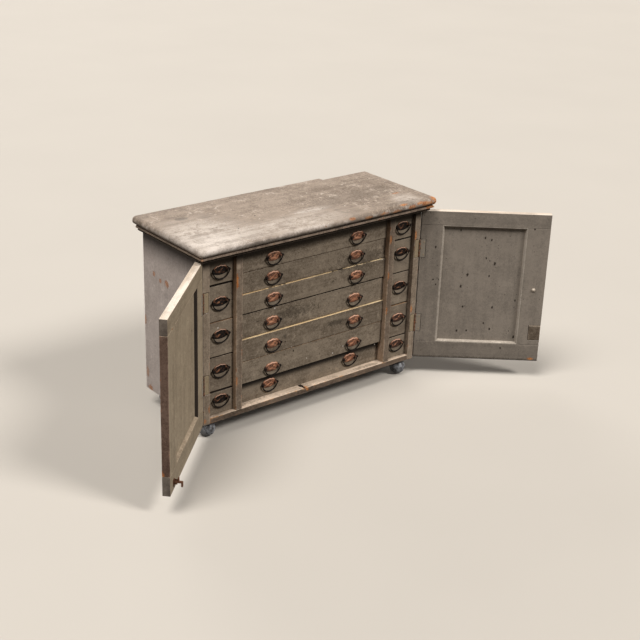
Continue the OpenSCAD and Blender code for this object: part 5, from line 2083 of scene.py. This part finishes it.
@dataclass
class Casters:
    """Four hooded ball casters."""

    ball_r: float = 27.0
    gap: float = 1.2
    trail: float = 12.0
    tilt: float = 30.0
    in_x: float = 46.0
    in_y: float = 32.0
    turns: tuple[float, ...] = (-40.0, 200.0, 160.0, 20.0)

    def build(self) -> None:
        """Makes plates, hoods and wheels."""
        plates = Soup("caster_bases", [CASTER_IRON], seed=90)
        for i in range(4):
            at = self._at(i)
            plates.lathe([(0.0, 57.0), (21.4, 57.0), (22.0, 57.5), (22.0, 60.0), (0.0, 60.0)], at)
            plates.lathe([(0.0, 40.6), (4.6, 40.6), (5.0, 41.0), (5.0, 57.0)], at, 0, 20)
            settle(self._hood(i), f"caster_{i + 1}", [f"caster_hood_{i + 1}"])
            settle(self._wheel(i), f"wheel_{i + 1}", [f"caster_wheel_{i + 1}"])
        settle(plates.build(tidy=True), "carcass", ["caster_plates"])

    def _at(self, i: int) -> Matrix:
        """Stands a caster's swivel in its corner."""
        x = HALF_W - self.in_x
        y = self.in_y if i < 2 else CARCASS_D - self.in_y
        return Matrix.Translation((-x if i % 2 == 0 else x, y, 0.0))

    def _axle(self, i: int) -> Matrix:
        """Lays a wheel's own Z along its tilted axle."""
        turn = Matrix.Rotation(math.radians(self.turns[i]), 4, "Z")
        tip = Matrix.Rotation(math.radians(90.0 - self.tilt), 4, "Y")
        return self._at(i) @ turn @ Matrix.Translation((-self.trail, 0.0, self.ball_r)) @ tip

    def _half(self, sign: int, bore: float) -> list[tuple[float, float]]:
        """The section of half a ball.

        Args:
            sign: 1 for the half on the axle's positive side.
            bore: Radius of its hole.

        Returns:
            Radius and height of each ring, from foot to head.
        """
        face = self.gap / 2
        rim = math.sqrt(self.ball_r ** 2 - (face + 1.0) ** 2)
        arc = [math.radians(a) for a in range(6, 90, 6)]
        ball = [(self.ball_r * math.cos(a), self.ball_r * math.sin(a)) for a in arc]
        flat = [(bore, face), (rim * 0.55, face), (rim * 0.62, face + 0.8), (rim - 2.4, face + 0.8),
                (rim - 1.2, face), (rim - 0.2, face + 0.35), (rim, face + 1.0)]
        half = flat + ball + [(0.0, self.ball_r)]
        return half if sign > 0 else [(r, -z) for r, z in half[::-1]]

    def _hood(self, i: int) -> bpy.types.Object:
        """Makes the half ball that turns on the swivel, with its boss and axle."""
        soup = Soup(f"caster_{i + 1}_hood", [CASTER_IRON], seed=91 + i)
        soup.lathe(self._half(1, 3.0), self._axle(i), 0, 48)
        soup.lathe([(0.0, -16.2), (3.6, -16.2), (3.9, -15.8), (3.9, 2.0)], self._axle(i), 0, 20)
        boss = [(5.1, 30.0), (8.4, 30.0), (9.0, 31.0), (9.0, 54.8), (8.3, 55.5), (5.1, 55.5)]
        soup.lathe(boss, self._at(i), 0, 28)
        return soup.build(tidy=True)

    def _wheel(self, i: int) -> bpy.types.Object:
        """Makes the half ball that rolls."""
        soup = Soup(f"caster_{i + 1}_wheel", [CASTER_TREAD], seed=95 + i)
        soup.lathe(self._half(-1, 4.1), self._axle(i), 0, 48)
        return soup.build(tidy=True)


def main() -> None:
    """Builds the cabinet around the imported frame."""
    logging.basicConfig(level=logging.INFO, format="%(message)s")
    noise.seed_set(NOISE_SEED)
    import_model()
    Studio().build()
    assemblies = (Top(), Carcass(), CarcassHinges(), Drawers(),
                  Door(Side.LEFT, 136.0, LEFT_DOOR_PAINT, LEFT_BEAD_PAINT),
                  Door(Side.RIGHT, 140.0, RIGHT_DOOR_PAINT, BEAD_PAINT), Casters())
    for assembly in assemblies:
        assembly.build()


if __name__ == "__main__":
    main()
